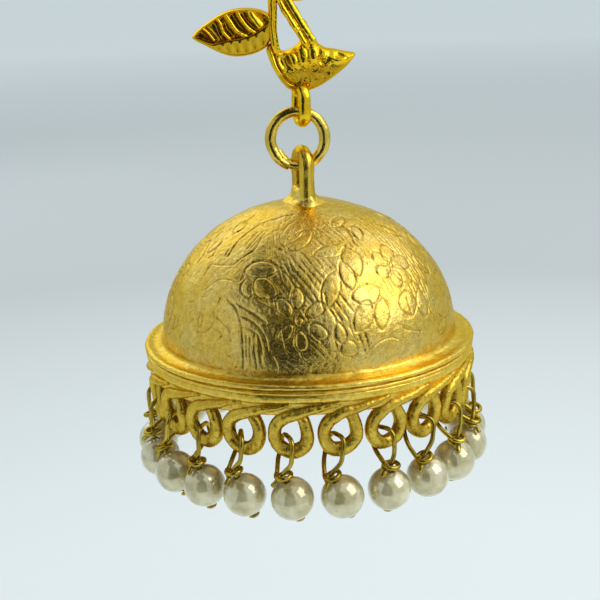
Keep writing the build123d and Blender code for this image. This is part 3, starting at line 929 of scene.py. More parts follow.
# ------------------------------------------------------------------ rim
# Corners of the section (radius, height, painted shade) down the outside and back up the inside; the painted
# shade darkens the crevice at the dome, the grooves, the underside and the inside
RIM_CORNERS = (
    (13.95, 0.75, 0.6), (14.28, 0.36, 0.7), (14.40, 0.20, 0.5), (14.52, 0.13, 0.0), (14.66, 0.05, 0.1),
    (14.95, -0.03, 0.2), (15.25, -0.05, 0.2), (15.50, -0.01, 0.1), (15.68, 0.02, 0.0), (15.84, 0.00, 0.0),
    (15.95, -0.08, 0.0), (16.01, -0.19, 0.0), (16.01, -0.30, 0.1), (15.94, -0.41, 0.3), (15.80, -0.48, 0.8),
    (15.70, -0.52, 1.0), (15.74, -0.56, 0.6), (15.85, -0.60, 0.1), (15.93, -0.67, 0.0), (15.95, -0.76, 0.0),
    (15.91, -0.86, 0.1), (15.81, -0.94, 0.5), (15.76, -0.98, 0.7), (15.80, -1.03, 0.2), (15.84, -1.10, 0.0),
    (15.85, -1.30, 0.0), (15.83, -1.50, 0.0), (15.78, -1.62, 0.1), (15.70, -1.74, 0.3), (15.66, -1.92, 0.4),
    (15.66, -2.35, 0.4), (15.62, -2.70, 0.4), (15.44, -2.86, 0.4), (15.12, -2.84, 0.3), (14.98, -2.66, 0.3),
    (14.98, -2.00, 0.4), (14.96, -1.44, 0.4), (14.60, -1.20, 0.4), (14.00, -0.80, 0.4), (13.45, -0.38, 0.4),
    (13.36, -0.20, 0.4), (13.36, 0.30, 0.4),
)
RIM_COLUMNS = 450


def rim():
    corners = np.array(RIM_CORNERS)
    profile = smooth_line(corners[:, :2], 0.07, closed=True)
    corner_place = along(corners[:, :2])
    round_length = corner_place[-1] + np.linalg.norm(corners[-1, :2] - corners[0, :2])
    place = along(profile)
    # painted shade along the profile, from the third column of the corners
    darkening_and_painted_shade = np.interp(place, corner_place * place[-1] / round_length, corners[:, 2])
    waves = ((3.0, 0.016), (0.9, 0.012), (0.35, 0.006))
    return lathe(profile, RIM_COLUMNS, rough=waves, seed=10, painted_shade=darkening_and_painted_shade)


add_piece("rim", rim(), MATERIALS["rim"], "bell", "bell")


# ------------------------------------------------------------------ skirt of running scrolls
# Middle line of a scroll round its hole (across, up), its width, and how far it stands out
SCROLL_CORNERS = (
    (4.70, 2.86, 0.46, 0.00), (3.60, 2.66, 0.66, 0.08), (2.60, 2.42, 0.82, 0.14), (1.60, 2.20, 0.98, 0.18),
    (0.60, 1.96, 1.12, 0.18), (-0.37, 1.56, 1.22, 0.12), (-1.16, 0.88, 1.24, 0.07),
    (-1.50, 0.00, 1.20, 0.03), (-1.29, -0.94, 1.25, 0.00), (-0.58, -1.62, 1.34, 0.00),
    (0.28, -1.74, 1.38, 0.00), (1.06, -1.34, 1.34, 0.00), (1.49, -0.56, 1.26, -0.02),
    (1.53, 0.34, 1.20, -0.06), (1.26, 1.16, 1.10, -0.14), (0.78, 1.80, 0.92, -0.24),
)
SCROLL_THICK = 0.96
# Across the strap: place from -1 to 1, and depth under the face, rounded with its highest line a little right
# of the middle
STRAP_FACE = (
    (-1.00, 0.64), (-0.97, 0.48), (-0.88, 0.33), (-0.70, 0.18), (-0.44, 0.08), (-0.14, 0.02), (0.16, 0.00),
    (0.46, 0.05), (0.71, 0.14), (0.88, 0.29), (0.97, 0.45), (1.00, 0.60),
)
STRAP_BACK = (
    (0.96, 0.84), (0.80, SCROLL_THICK), (0.30, SCROLL_THICK), (-0.30, SCROLL_THICK), (-0.80, SCROLL_THICK),
    (-0.96, 0.84),
)


def skirt_radius(z):
    """Radius of the skirt's face at a height under the rim."""
    return np.interp(z, (-7.2, -5.6, -4.6, -3.4, -2.0, -1.0), (15.42, 15.66, 15.80, 15.88, 15.90, 15.86))


def scroll(index, random):
    """One scroll, with its strap, bent round the skirt."""
    corners = np.array(SCROLL_CORNERS)
    corners[1:, :2] += random.normal(size=(len(corners) - 1, 2)) * 0.035
    corners[:, 2] *= 1 + random.normal(size=len(corners)) * 0.03
    line = smooth_line(corners[:, :2], 0.12)
    place, corner_place = along(line), along(corners[:, :2])
    corner_place *= place[-1] / corner_place[-1]
    width = np.interp(place, corner_place, corners[:, 2])
    stand = np.interp(place, corner_place, corners[:, 3])
    way = unit(np.gradient(line, axis=0))
    across = np.stack([way[:, 1], -way[:, 0]], -1)
    strap, depth = np.array(STRAP_FACE + STRAP_BACK).T
    flat = line[:, None] + across[:, None] * (strap[None, :, None] * width[:, None, None] / 2)
    out = stand[:, None] - depth[None]
    own_place = np.stack([flat[..., 0] + 7.0 * index, flat[..., 1], np.zeros_like(out)], -1)
    out = out + roughness(own_place, 30, (0.9, 0.022), (0.3, 0.012))
    z = SCROLL_Z + flat[..., 1]
    azimuth = np.radians(FIRST_DROP_DEG + index * DROP_STEP_DEG) + flat[..., 0] / skirt_radius(z)
    points = bell_point(azimuth, skirt_radius(z) + out, z)
    count, around = out.shape
    # painted shade: darker down the sides and back of each strap, the deeper under its face
    painted_shade = np.broadcast_to(np.interp(depth, (0.0, 0.2, 0.6), (0.0, 0.25, 0.9)), out.shape)
    faces = [strip_faces(count, around)[:, ::-1], *end_faces(count, around)]
    return points.reshape(-1, 3), faces, {"painted_shade": painted_shade.ravel()}


skirt_random = np.random.default_rng(SEED + 40)
skirt = join_parts([scroll(drop, skirt_random) for drop in range(DROP_COUNT)])
add_piece("scroll_skirt", skirt, MATERIALS["skirt"], "bell", "bell")


# ------------------------------------------------------------------ loop on the bell and its solder
LOOP_TURN_DEG = 15.0
STAPLE_R = 1.44
STAPLE_WIRE_R = 0.66
STAPLE_ARC_Z = 16.27
STAPLE_FOOT_Z = 12.4
# The solder's levels, from its foot to its top: half widths across and along the loop, and height
SOLDER_SHARES = (0, 0.15, 0.4, 0.7, 0.88, 1)
SOLDER_ACROSS = (3.1, 2.1, 1.30, 1.0, 0.7, 0.05)
SOLDER_ALONG = (3.2, 2.75, 2.35, 2.15, 1.7, 0.05)
SOLDER_Z = (12.2, 12.85, 13.4, 14.05, 14.35, 14.4)
SOLDER_LEVELS = 30
SOLDER_AROUND = 120


def upright(across, up, turn_deg):
    """Points of an upright plane through the bell's axis; across runs to the back, then turned."""
    x, y = turned(0.0, across, turn_deg)
    return np.stack([x, HANG_Y + y, up], -1)


def staple():
    """The bell's loop: two legs and half a turn."""
    angle = np.linspace(np.pi, 0, 40)
    leg = np.linspace(STAPLE_FOOT_Z, STAPLE_ARC_Z, 24)[:-1]
    level = np.full(len(leg), STAPLE_R)
    across = np.concatenate([-level, STAPLE_R * np.cos(angle), level])
    up = np.concatenate([leg, STAPLE_ARC_Z + STAPLE_R * np.sin(angle), leg[::-1]])
    line = upright(across, RIM_Z + up, LOOP_TURN_DEG)
    side, forward = carried_frames(line, (*turned(1.0, 0.0, LOOP_TURN_DEG), 0.0))
    radii = STAPLE_WIRE_R * (1 + 0.03 * np.sin(along(line) * 1.7))
    return sweep(line, side, forward, round_section(radii, 40) * (1.08, 1.0), rough=0.014, seed=50)


def solder():
    """A mound of solder round the legs, rising between them."""
    share = np.linspace(0, 1, SOLDER_LEVELS)[:, None]
    angle = round_turn(SOLDER_AROUND)
    x = np.interp(share, SOLDER_SHARES, SOLDER_ACROSS) * np.cos(angle)
    y = np.interp(share, SOLDER_SHARES, SOLDER_ALONG) * np.sin(angle)
    points = np.stack(np.broadcast_arrays(x, y, np.interp(share, SOLDER_SHARES, SOLDER_Z)), -1)
    out = unit(points * (1.0, 1.0, 0.3) - (0, 0, 3.0))
    points = points + out * roughness(points, 60, (1.6, 0.09), (0.5, 0.012))[..., None]
    x, y = turned(points[..., 0], points[..., 1], LOOP_TURN_DEG)
    points = np.stack([x, HANG_Y + y, RIM_Z + points[..., 2]], -1).reshape(-1, 3)
    ends = [face[:, ::-1] for face in end_faces(SOLDER_LEVELS, SOLDER_AROUND)]
    return points, [strip_faces(SOLDER_LEVELS, SOLDER_AROUND), *ends], {"painted_shade": np.zeros(len(points))}


add_piece("bell_loop", staple(), MATERIALS["loop"], "bell", "bell")
add_piece("solder", solder(), MATERIALS["solder"], "bell", "bell")


# ------------------------------------------------------------------ jump ring
RING_CENTRE = (-0.35, HANG_Y, RIM_Z + 18.96)
RING_START_DEG = 208.0
RING_TURN_DEG = 404.0
# How the wire changes along its turn in degrees, near its lapping ends: ring radius, depth, wire radius
RING_RADIUS = ((0, 28, 48, 360, 390, 404), (2.15, 2.36, 2.55, 2.55, 2.66, 2.68))
RING_DEPTH = ((0, 30, 46, 350, 375, 404), (0.16, 0.12, 0.0, 0.0, -0.14, -0.16))
RING_WIRE_R = ((0, 20, 60, 350, 385, 404), (0.36, 0.42, 0.5, 0.5, 0.45, 0.42))


def jump_ring():
    """A wire bent round once and a bit more, its ends lapping at the lower left."""
    turns = np.arange(RING_START_DEG, RING_START_DEG + RING_TURN_DEG, 2.5) - RING_START_DEG
    angle = np.radians(turns + RING_START_DEG)
    radius = np.interp(turns, *RING_RADIUS)
    flat = np.stack([radius * np.cos(angle), np.interp(turns, *RING_DEPTH), radius * np.sin(angle)], -1)
    line = flat + RING_CENTRE
    wire = np.interp(turns, *RING_WIRE_R) * (1 + 0.08 * np.cos(angle) ** 4)
    side, up = carried_frames(line, (0, 1, 0))
    return sweep(line, side, up, round_section(wire, 36), rough=0.010, seed=70)


add_piece("ring_wire", jump_ring(), MATERIALS["ring"], "ring", "jump_ring", 50)


# ------------------------------------------------------------------ pearls on their pins
PEARL_R = 1.95
PEARL_BORE_R = 0.29
PEARL_RING_R = 15.53
PEARL_Z = -10.66
PEARL_AROUND = 56
BORE_OUT_DEG = 13.0
PIN_R = 0.21
PIN_GAP = 0.06
PIN_AROUND = 12
EYE_R = 15.1
EYE_TOP_Z = -5.2
COIL_R = 0.66
# The eye's bend through the scroll: distance out of its middle, and height
EYE_CORNERS = (
    (1.06, -7.2), (1.08, -6.3), (1.00, -5.50), (0.62, -5.03), (-0.05, -4.94), (-0.72, -5.06), (-1.12, -5.60),
    (-1.20, -6.4),
)
# The head's section (radius, height over its foot), from the pearl down
HEAD_CORNERS = (
    (0.20, 0.02), (0.40, 0.0), (0.50, -0.05), (0.53, -0.15), (0.46, -0.27), (0.28, -0.36), (0.08, -0.40),
)
HEAD_AROUND = 20


def uneven(index, phase):
    return np.sin(2.4 * index + phase)


class Drop:
    """Where one drop hangs: its outward, rightward and bore directions and its pearl's centre."""

    def __init__(self, index):
        angle = np.radians(FIRST_DROP_DEG + index * DROP_STEP_DEG)
        lean = np.radians(14.0 + 12.0 * uneven(index, 0))
        self.index = index
        self.outward = np.array([np.sin(angle), -np.cos(angle), 0])
        self.rightward = np.array([np.cos(angle), np.sin(angle), 0])
        spread = self.outward * np.tan(np.radians(BORE_OUT_DEG))
        self.bore = unit(spread - self.rightward * np.tan(lean) + (0, 0, 1))
        self.side = unit(self.rightward - self.bore * (self.rightward @ self.bore))
        self.front = np.cross(self.bore, self.side)
        self.centre = self.at(PEARL_RING_R, PEARL_Z)

    def at(self, radius, height, aside=0.0):
        return np.array([0, HANG_Y, RIM_Z + height]) + self.outward * radius + self.rightward * aside

    def turned_section(self, centre, radii, heights, around):
        """Rings round the bore."""
        ring = circle(self.side, self.front, around)
        return centre + ring[None] * radii[:, None, None] + self.bore * heights[:, None, None]


def pearl(drop):
    """A lacquered ball, slightly out of round, with its bore."""
    edge = np.arcsin((PEARL_BORE_R + 0.05) / PEARL_R)
    tilt = np.linspace(edge, np.pi - edge, 38)
    lip = [PEARL_BORE_R, PEARL_BORE_R + 0.01]
    height = PEARL_R * np.cos(tilt)
    radii = np.concatenate([lip, PEARL_R * np.sin(tilt), lip[::-1]])
    heights = np.concatenate([height[0] - [0.25, 0.04], height, height[-1] + [0.04, 0.25]])
    points = drop.turned_section(drop.centre, radii, heights, PEARL_AROUND)
    out = unit(points - drop.centre)
    points = points + out * roughness(out * 2 + 9.0 * drop.index, 80, (2.2, 0.012), (0.8, 0.004))[..., None]
    first = np.arange(PEARL_AROUND)
    last = (len(radii) - 1) * PEARL_AROUND + first
    outside = strip_faces(len(radii), PEARL_AROUND)
    return points.reshape(-1, 3), [outside[:, ::-1], band(first, last)[:, ::-1]], {}


def pin(drop, random):
    """A head pin: head, stem, eye through the scroll, a coil round the stem and a cut end."""
    bore, outward, rightward, centre = drop.bore, drop.outward, drop.rightward, drop.centre
    coil = centre + bore * (PEARL_R + PIN_R + PIN_GAP)
    foot = centre - bore * (PEARL_R + PIN_GAP)
    coil_height = coil[2] - RIM_Z
    coil_aside = (coil - centre) @ rightward
    yaw = np.radians(25.0 + 5.0 * uneven(drop.index, 1))

    def on_eye(out, height):
        fall = np.clip((EYE_TOP_Z - height) / (EYE_TOP_Z - coil_height), 0, 1)
        return drop.at(EYE_R + out, height, (out - 0.45) * np.tan(yaw) + coil_aside * fall)

    left = unit(-rightward - bore * (-rightward @ bore))
    ahead = np.cross(left, bore)
    ahead *= np.sign(ahead @ outward)
    # the coil comes in from behind on the left, runs in front to the right and on round to the front left
    turn = np.linspace(0, 1, 30)[:, None]
    angle = np.radians(25 - (420 + 20 * random.normal()) * turn)
    round_coil = left * np.cos(angle) - ahead * np.sin(angle)
    spiral = coil + bore * (0.58 - 0.54 * turn) + COIL_R * round_coil
    end, away = unit(spiral[-1] - spiral[-3]), unit(round_coil[-1])
    tips = [spiral[-1] + end * 0.12 + away * 0.22 - bore * 0.10,
            spiral[-1] + end * 0.16 + away * (0.50 + 0.10 * random.random()) - bore * 0.32]
    stem_line = [foot, centre, coil - bore * 0.2, coil + bore * 0.5]
    eye = [on_eye(*corner) for corner in EYE_CORNERS]
    eye.append(eye[-1] * 0.48 + spiral[0] * 0.52 + left * 0.10 - outward * 0.22)
    line = smooth_line(np.concatenate([stem_line, eye, spiral, tips]), 0.14)
    radii = np.full(len(line), PIN_R)
    radii[-2:] *= (0.97, 0.86)
    section = round_section(radii, PIN_AROUND)
    wire = sweep(line, *carried_frames(line, rightward), section, rough=0.006, seed=90 + drop.index)

    head_radii, head_heights = np.array(HEAD_CORNERS).T
    points = drop.turned_section(foot, head_radii, head_heights, HEAD_AROUND).reshape(-1, 3)
    faces = [strip_faces(len(HEAD_CORNERS), HEAD_AROUND)[:, ::-1], *end_faces(len(HEAD_CORNERS), HEAD_AROUND)]
    head = (points, faces, {"grain": np.zeros((len(points), 3)), "painted_shade": np.zeros(len(points))})
    return join_parts([wire, head])


pin_random = np.random.default_rng(SEED + 90)
for drop_index in range(DROP_COUNT):
    number = f"{drop_index + 1:02d}"
    this_drop = Drop(drop_index)
    ball = pearl(this_drop)
    add_piece(f"pearl_ball_{number}", ball, MATERIALS["pearl"], "bell", f"pearl_{number}")
    add_piece(f"head_pin_{number}", pin(this_drop, pin_random), MATERIALS["wire"], "bell",
              f"drop_wire_{number}")


# ------------------------------------------------------------------ leaf, bird, stems and stud
OUTLINE_STEP = 0.06
FACE_SPACING = 0.055
BACK_SPACING = 0.2
BACK_ROUND_DEPTH = 0.25
BACK_ROUND_WIDTH = 0.35


def is_inside(points, outline):
    """Which 2-D points lie inside a closed outline."""
    x, y = points.T
    result = np.zeros(len(points), bool)
    for (xa, ya), (xb, yb) in zip(outline, np.roll(outline, -1, 0)):
        crosses = (ya > y) != (yb > y)
        result ^= crosses & (x < (xb - xa) * (y - ya) / (yb - ya + 1e-15) + xa)
    return result


def triangulated(outline, spacing, margin):
    """Points inside an outline, its own points first, and the anticlockwise triangles between them."""
    low, high = outline.min(0), outline.max(0)
    rows = np.arange(low[1], high[1], spacing * 0.866)
    columns = np.arange(low[0], high[0], spacing)
    grid = np.stack(np.meshgrid(columns, rows), -1)
    grid[1::2, :, 0] += spacing / 2
    grid = grid.reshape(-1, 2)
    grid = grid[is_inside(grid, outline)]
    grid = grid[distance_to(grid, np.concatenate([outline, outline[:1]])) > margin]
    points = np.concatenate([outline, grid])
    count = len(outline)
    edges = [(i, (i + 1) % count) for i in range(count)]
    found = delaunay_2d_cdt([Vector(point) for point in points], edges, [], 1, 1e-7)
    points = np.array([tuple(point) for point in found[0]])
    faces = np.array([face for face in found[2] if len(face) == 3])
    first, second, third = (points[faces[:, k]] for k in range(3))
    (ax, ay), (bx, by) = (second - first).T, (third - first).T
    clockwise = ax * by - ay * bx < 0
    faces[clockwise] = faces[clockwise][:, ::-1]
    return points, faces


def plate(corners, back, front):
    """A cast plate in the upright plane; front gives depth and painted shade at points and edge distances."""
    outline = smooth_line(corners, OUTLINE_STEP, closed=True)
    closed_outline = np.concatenate([outline, outline[:1]])
    count = len(outline)
    face, triangles = triangulated(outline, FACE_SPACING, FACE_SPACING * 0.6)
    edge = distance_to(face, closed_outline)
    edge[:count] = 0
    depth, painted_shade = front(face, edge)
    rear, rear_triangles = triangulated(outline, BACK_SPACING, BACK_SPACING / 2)
    bevel = np.clip(1 - distance_to(rear, closed_outline) / BACK_ROUND_WIDTH, 0, 1)
    rear_depth = BACK_ROUND_DEPTH * (1 - np.sqrt(1 - bevel**2))
    flat = np.concatenate([face, rear])
    points = np.stack([flat[:, 0], -(back + np.concatenate([depth, rear_depth])), flat[:, 1]], -1)
    start = len(face)
    i = np.arange(count)
    following = (i + 1) % count
    wall = np.stack([i, start + i, start + following, following], -1)
    painted_shade = np.concatenate([painted_shade, np.zeros(len(rear))])
    grain = np.stack([points[:, 2], points[:, 0] * 1.5, points[:, 1]], -1)
    return points, [triangles, rear_triangles[:, ::-1] + start, wall], {"painted_shade": painted_shade, "grain": grain}


def bell_curve(value, middle, width):
    """1 at the middle, falling smoothly to 0 over a width."""
    return np.exp(-(((value - middle) / width) ** 2))


def ridge(points, corners, width):
    """1 on a smooth line through corners, falling to 0 over a width."""
    return bell_curve(distance_to(points, smooth_line(corners, 0.15)), 0.0, width)


def blob(points, centre, size, slope_deg=0.0, power=2.0):
    """1 at a centre, falling to 0 at an oval of half sizes."""
    a, b = turned(*(points - np.asarray(centre)).T, -slope_deg)
    return np.exp(-(np.hypot(a / size[0], b / size[1]) ** power))


def soft_step(value, low, high):
    share = np.clip((value - low) / (high - low), 0, 1)
    return share * share * (3 - 2 * share)


def rounded_edge(edge, radius):
    """Height of a quarter-round border, from 0 at the edge to 1 at its radius."""
    return np.sqrt(np.clip(1 - (1 - np.clip(edge / radius, 0, 1)) ** 2, 0, 1))


LEAF_CORNERS = (
    (-9.70, -7.37), (-9.30, -7.76), (-8.62, -8.12), (-7.97, -8.49), (-7.00, -8.97), (-5.85, -9.27),
    (-4.60, -9.20), (-3.60, -8.92), (-2.90, -8.50), (-2.40, -7.70), (-2.30, -6.60), (-2.40, -5.70),
    (-3.20, -5.15), (-4.50, -4.92), (-5.90, -5.00), (-7.10, -5.42), (-8.10, -6.00), (-8.90, -6.50),
    (-9.45, -6.98),
)
MIDRIB = (
    (-9.5, -7.40), (-9.0, -7.52), (-8.0, -7.92), (-7.2, -7.91), (-6.2, -7.70), (-5.1, -7.58), (-4.1, -7.29),
    (-3.1, -6.75), (-2.5, -6.2),
)
# Veins of the upper half: points and half width
LEAF_VEINS = (
    (((-8.75, -6.45), (-8.20, -6.95), (-7.66, -7.66)), 0.24),
    (((-7.55, -5.55), (-7.04, -6.1), (-6.75, -6.98), (-6.24, -7.6)), 0.29),
    (((-6.65, -5.15), (-6.18, -5.91), (-5.52, -6.93), (-4.7, -7.46)), 0.32),
    (((-5.5, -5.0), (-5.06, -5.91), (-4.49, -6.67), (-3.9, -7.12)), 0.30),
    (((-4.3, -5.1), (-3.95, -5.8), (-3.35, -6.6)), 0.50),
)


def leaf_front(points, edge):
    """A swelling lower half with soft ribs, and a sunk upper half with raised veins and a border."""
    line = smooth_line(MIDRIB, 0.2)
    above = points[:, 1] - np.interp(points[:, 0], line[:, 0], line[:, 1])
    rib = distance_to(points, line)
    upper = soft_step(above, -0.03, 0.05)
    wave = np.sin((points[:, 0] + 0.18 * above) * TURN / 0.78 + 0.5)
    wave *= soft_step(edge, 0.1, 0.9) * soft_step(rib, 0.1, 0.5)
    lower = 1.04 - 0.27 * rib + 0.048 * wave
    veins = np.maximum.reduce([ridge(points, corners, width) for corners, width in LEAF_VEINS])
    depth = lower * (1 - upper) + (0.46 + 0.52 * veins) * upper
    border = bell_curve(edge, 0.17, 0.17)
    raised = (0.72 + 0.36 * border) * soft_step(border, 0.05, 0.6)
    depth = np.maximum(depth, raised * upper + depth * (1 - upper))
    depth -= 0.12 * bell_curve(rib, 0.0, 0.09) * soft_step(edge, 0.2, 0.5)
    depth += roughness(points, 200, (0.6, 0.006), (0.25, 0.0015)) * (0.35 + upper)
    # painted shade: darker in the sunk upper half between the veins and the border; the lower half is darker
    # all over, and darker still in the troughs between its ribs
    painted_shade = upper * (1 - veins) * (1 - border) * soft_step(edge, 0.1, 0.4)
    painted_shade += (0.75 - 0.25 * wave) * (1 - upper)
    return 0.38 + (depth - 0.10) * rounded_edge(edge, 0.26), np.clip(painted_shade, 0, 1)


BIRD_CORNERS = (
    (-2.95, -8.72), (-2.80, -9.40), (-2.52, -10.25), (-2.15, -10.98), (-1.55, -11.92), (-0.95, -12.50),
    (0.05, -12.80), (1.05, -12.62), (2.00, -12.25), (3.15, -11.55), (4.35, -10.65), (5.00, -9.98),
    (5.30, -9.56), (5.18, -9.33), (4.75, -9.24), (4.20, -9.12), (3.30, -8.90), (2.60, -8.78), (2.00, -8.45),
    (1.20, -8.00), (0.30, -8.02), (-0.10, -8.40), (-0.75, -8.78), (-1.35, -8.92), (-1.78, -8.70),
    (-2.10, -8.25), (-2.60, -8.15),
)
# The high line of the body, from the breast to the beak
BIRD_CREST = (
    (-2.4, -10.9), (-1.5, -10.72), (-0.36, -10.4), (0.78, -10.1),
    (1.92, -9.95), (3.2, -10.1), (4.4, -9.9), (5.3, -9.55),
)
# Lobes of the shoulder: height, centre, half sizes, slope
BIRD_LOBES = (
    (1.0, (-0.50, -9.62), (0.80, 0.46), 112),
    (1.1, (0.42, -9.28), (0.98, 0.52), 97),
    (1.1, (1.40, -9.16), (0.90, 0.52), 92),
    (0.8, (2.30, -9.22), (0.56, 0.40), 80),
)
BREAST_GROOVE = ((-2.5, -8.1), (-2.2, -9.1), (-1.88, -10.2), (-1.50, -10.9), (-0.95, -11.7), (-0.2, -12.1))
BREAST_LINES = (
    ((-1.25, -10.95), (-0.85, -11.25), (-0.35, -11.75)),
    ((-0.85, -10.75), (-0.35, -11.05), (0.0, -11.65)),
    ((-0.35, -10.6), (0.15, -10.95), (0.45, -11.7)),
    ((0.25, -10.35), (0.75, -10.85), (1.0, -11.7)),
    ((0.85, -10.3), (1.05, -10.9), (1.5, -11.5)),
    ((2.0, -10.75), (2.3, -11.0), (2.35, -11.5)),
    ((2.9, -10.5), (3.1, -10.8), (3.0, -11.2)),
)
EYE_CRESCENT = ((1.85, -10.05), (2.10, -10.36), (2.50, -10.40), (2.85, -10.15))
BROW = ((2.1, -9.45), (2.9, -9.55), (3.6, -9.9), (4.2, -9.85))


def bird_front(points, edge):
    """A round body with a lobed shoulder, an engraved breast, an eye and a thin beak."""
    x, z = points.T
    crest = smooth_line(BIRD_CREST, 0.2)
    over = z - np.interp(x, crest[:, 0], crest[:, 1])
    belly = 0.50 * np.clip(-over / 2.2, 0, 1) ** 1.2
    top = 0.42 * np.clip(over / 1.5, 0, 1) ** 1.3
    depth = 1.50 - np.where(over > 0, top, belly)
    lobes = np.maximum.reduce([
        height * blob(points, centre, size, slope, 4.0) for height, centre, size, slope in BIRD_LOBES
    ])
    shoulder = soft_step(over, -0.05, 0.15) * soft_step(2.1 - x, 0, 0.2) * soft_step(x, -0.9, -0.5)
    shoulder *= 1 - np.clip(lobes * 1.6, 0, 1)
    hollow = blob(points, (-1.18, -9.85), (0.46, 0.72), 20, 3.0)
    strap = bell_curve(edge, 0.30, 0.26) * soft_step(-0.4 - x, 0, 0.6) * soft_step(-9.0 - z, -0.6, 0.2)
    groove = ridge(points, BREAST_GROOVE, 0.09)
    eye = blob(points, (2.26, -9.88), (0.24, 0.20), 0, 3.0)
    pupil = blob(points, (2.28, -9.89), (0.11, 0.10))
    crescent = ridge(points, EYE_CRESCENT, 0.10)
    brow = ridge(points, BROW, 0.22)
    beak_hollow = blob(points, (3.80, -9.42), (0.42, 0.18), -25, 3.0)
    lines = np.maximum.reduce([ridge(points, corners, 0.065) for corners in BREAST_LINES])
    ring = bell_curve(np.hypot(x - 1.44, z + 10.5), 0.25, 0.07)
    pock = blob(points, (0.5, -12.05), (0.30, 0.18), 10)
    depth += 0.30 * lobes + 0.10 * strap + 0.16 * pupil + 0.10 * crescent + 0.10 * brow
    depth -= 0.12 * shoulder + 0.34 * hollow + 0.20 * groove + 0.24 * eye + 0.20 * beak_hollow
    depth -= 0.075 * lines + 0.08 * ring + 0.16 * pock
    depth += roughness(points, 210, (0.8, 0.010), (0.25, 0.002))
    # the beak thins towards its tip
    depth *= 1 - 0.25 * soft_step(x, 3.6, 5.3)
    # painted shade: darker in the breast groove, hollows, engraved lines, ring, eye, beak hollow, pock and
    # shoulder, and over the body below its crest
    dark = np.maximum.reduce([
        0.9 * groove, 0.9 * hollow, 0.8 * lines, 0.7 * ring, 0.9 * eye,
        0.9 * beak_hollow, pock, 0.7 * shoulder, 0.9 * soft_step(-over, 0.0, 0.5),
    ])
    return 0.30 + (depth - 0.22) * rounded_edge(edge, 0.42), np.clip(dark, 0, 1)


# Stems: the middle line in the upright plane, widths along it, and the section (across from -1 to 1, out),
# which runs anticlockwise: flat back, then round over the front
LEFT_STEM_LINE = (
    (-1.62, -9.35), (-1.98, -8.75), (-2.15, -7.9), (-2.22, -7.0), (-2.19, -6.0), (-2.15, -5.0),
    (-2.12, -3.6),
)
LEFT_STEM_WIDTHS = (0.6, 0.72, 0.74, 0.76, 0.80, 0.85, 0.9)
LEFT_STEM_SECTION = (
    (1.0, 0.30), (1.0, 0.85), (0.9, 1.12), (0.6, 1.27), (0.2, 1.32), (-0.15, 1.28), (-0.4, 1.12),
    (-0.62, 1.08), (-0.85, 1.10), (-1.0, 0.9), (-1.0, 0.3), (-0.7, 0.06), (0.7, 0.06),
)
RIGHT_STEM_LINE = (
    (1.62, -9.15), (1.02, -8.1), (0.42, -7.05), (-0.32, -5.8), (-0.95, -4.7), (-1.4, -3.7),
)
RIGHT_STEM_WIDTHS = (1.1, 1.35, 1.36, 1.36, 1.36, 1.3)
RIGHT_STEM_SECTION = (
    (1.0, 0.3), (1.0, 0.9), (0.92, 1.22), (0.72, 1.38), (0.48, 1.40), (0.28, 1.28), (0.16, 1.08),
    (0.04, 1.02), (-0.12, 1.10), (-0.45, 1.20), (-0.8, 1.12), (-0.97, 0.9), (-1.0, 0.3), (-0.7, 0.06),
    (0.7, 0.06),
)


def stem(corners, widths, section, seed):
    """A cast stem in the upright plane, thinner where it leaves its first end."""
    flat = smooth_line(corners, 0.08)
    line = np.stack([flat[:, 0], np.full(len(flat), -0.2), flat[:, 1]], -1)
    forward = np.tile((0.0, -1.0, 0.0), (len(line), 1))
    side = np.cross(forward, unit(np.gradient(line, axis=0)))
    share = along(line) / along(line)[-1]
    width = np.interp(share, np.linspace(0, 1, len(widths)), widths)
    thick = np.interp(share, (0, 0.08, 0.2), (0.6, 0.85, 1.0))
    rings = np.array(section)[None] * np.stack([width / 2, thick], -1)[:, None]
    return sweep(line, side, forward, rings, rough=0.026, seed=seed)


OVAL_TURN_DEG = 16.0
OVAL_R = 1.25
OVAL_LOW_Z = -14.36
OVAL_HIGH_Z = -13.4
OVAL_X = 0.1
OVAL_SECTION = (0.56, 0.40)


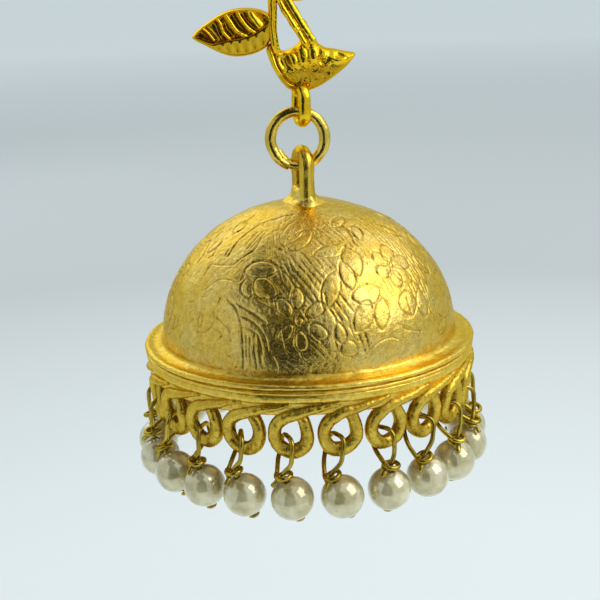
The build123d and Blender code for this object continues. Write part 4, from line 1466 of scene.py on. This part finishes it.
def oval_loop():
    """Closed cast loop under the bird, seen nearly edge-on."""
    half = np.linspace(0, np.pi, 36)
    leg = np.linspace(OVAL_LOW_Z, OVAL_HIGH_Z, 8)[1:-1]
    level = np.full(len(leg), OVAL_R)
    across = np.concatenate([-OVAL_R * np.cos(half), level, OVAL_R * np.cos(half), -level])
    bulge = OVAL_R * np.sin(half)
    up = np.concatenate([OVAL_LOW_Z - bulge, leg, OVAL_HIGH_Z + bulge, leg[::-1]])
    line = upright(across, up, OVAL_TURN_DEG) + (OVAL_X, 0, 0)
    side = np.tile((*turned(1.0, 0.0, OVAL_TURN_DEG), 0.0), (len(line), 1))
    out = np.cross(unit(np.roll(line, -1, 0) - np.roll(line, 1, 0)), side)
    section = round_section(1 + 0.02 * np.sin(along(line) * 2.1), 32) * OVAL_SECTION
    return sweep(line, side, out, section, rough=0.014, seed=230, closed=True)


# Radius and depth from the crown of the stud to the tip of its post
STUD_PROFILE = (
    (0.02, 1.70), (0.8, 1.69), (1.6, 1.63), (2.4, 1.51), (3.1, 1.36), (3.7, 1.18), (4.1, 1.03),
    (4.32, 0.90), (4.45, 0.76), (4.50, 0.60), (4.50, 0.30), (4.45, 0.12), (4.32, 0.02), (3.6, 0.0),
    (2.0, 0.0), (0.6, 0.0), (0.44, -0.08), (0.40, -0.25), (0.40, -8.9), (0.385, -9.0), (0.36, -9.08),
    (0.385, -9.16), (0.40, -9.26), (0.40, -9.72), (0.34, -9.88), (0.20, -9.97), (0.02, -10.0),
)
STUD_AROUND = 96


def stud():
    """Round stud and its post, turned about the line from front to back."""
    profile = smooth_line(STUD_PROFILE, 0.16)
    profile[:, 0] = np.maximum(profile[:, 0], 0.02)
    points, faces, values = lathe(profile, STUD_AROUND, centre=(0, 0, 0), closed=False,
                                  rough=((2.0, 0.006), (0.5, 0.003)), seed=240)
    faces += end_faces(len(profile), STUD_AROUND)
    values["grain"] = points * (1.0, 2.0, 1.0)
    return np.stack([points[:, 0], -points[:, 2], points[:, 1]], -1), faces, values


TOP_PARTS = {
    "leaf": plate(LEAF_CORNERS, 0.25, leaf_front),
    "bird": plate(BIRD_CORNERS, 0.0, bird_front),
    "left_stem": stem(LEFT_STEM_LINE, LEFT_STEM_WIDTHS, LEFT_STEM_SECTION, 220),
    "right_stem": stem(RIGHT_STEM_LINE, RIGHT_STEM_WIDTHS, RIGHT_STEM_SECTION, 222),
    "bird_loop": oval_loop(),
    "stud": stud(),
}
for part_name, part in TOP_PARTS.items():
    add_piece(part_name, part, MATERIALS["bright"], "stud", "stud_top", 65)


# ------------------------------------------------------------------ stage
add_camera()
add_world()
add_flag()
for lamp_name, lamp in LAMPS.items():
    add_lamp(lamp_name, *lamp)
add_floor()

bpy.context.scene.view_settings.view_transform = "Standard"
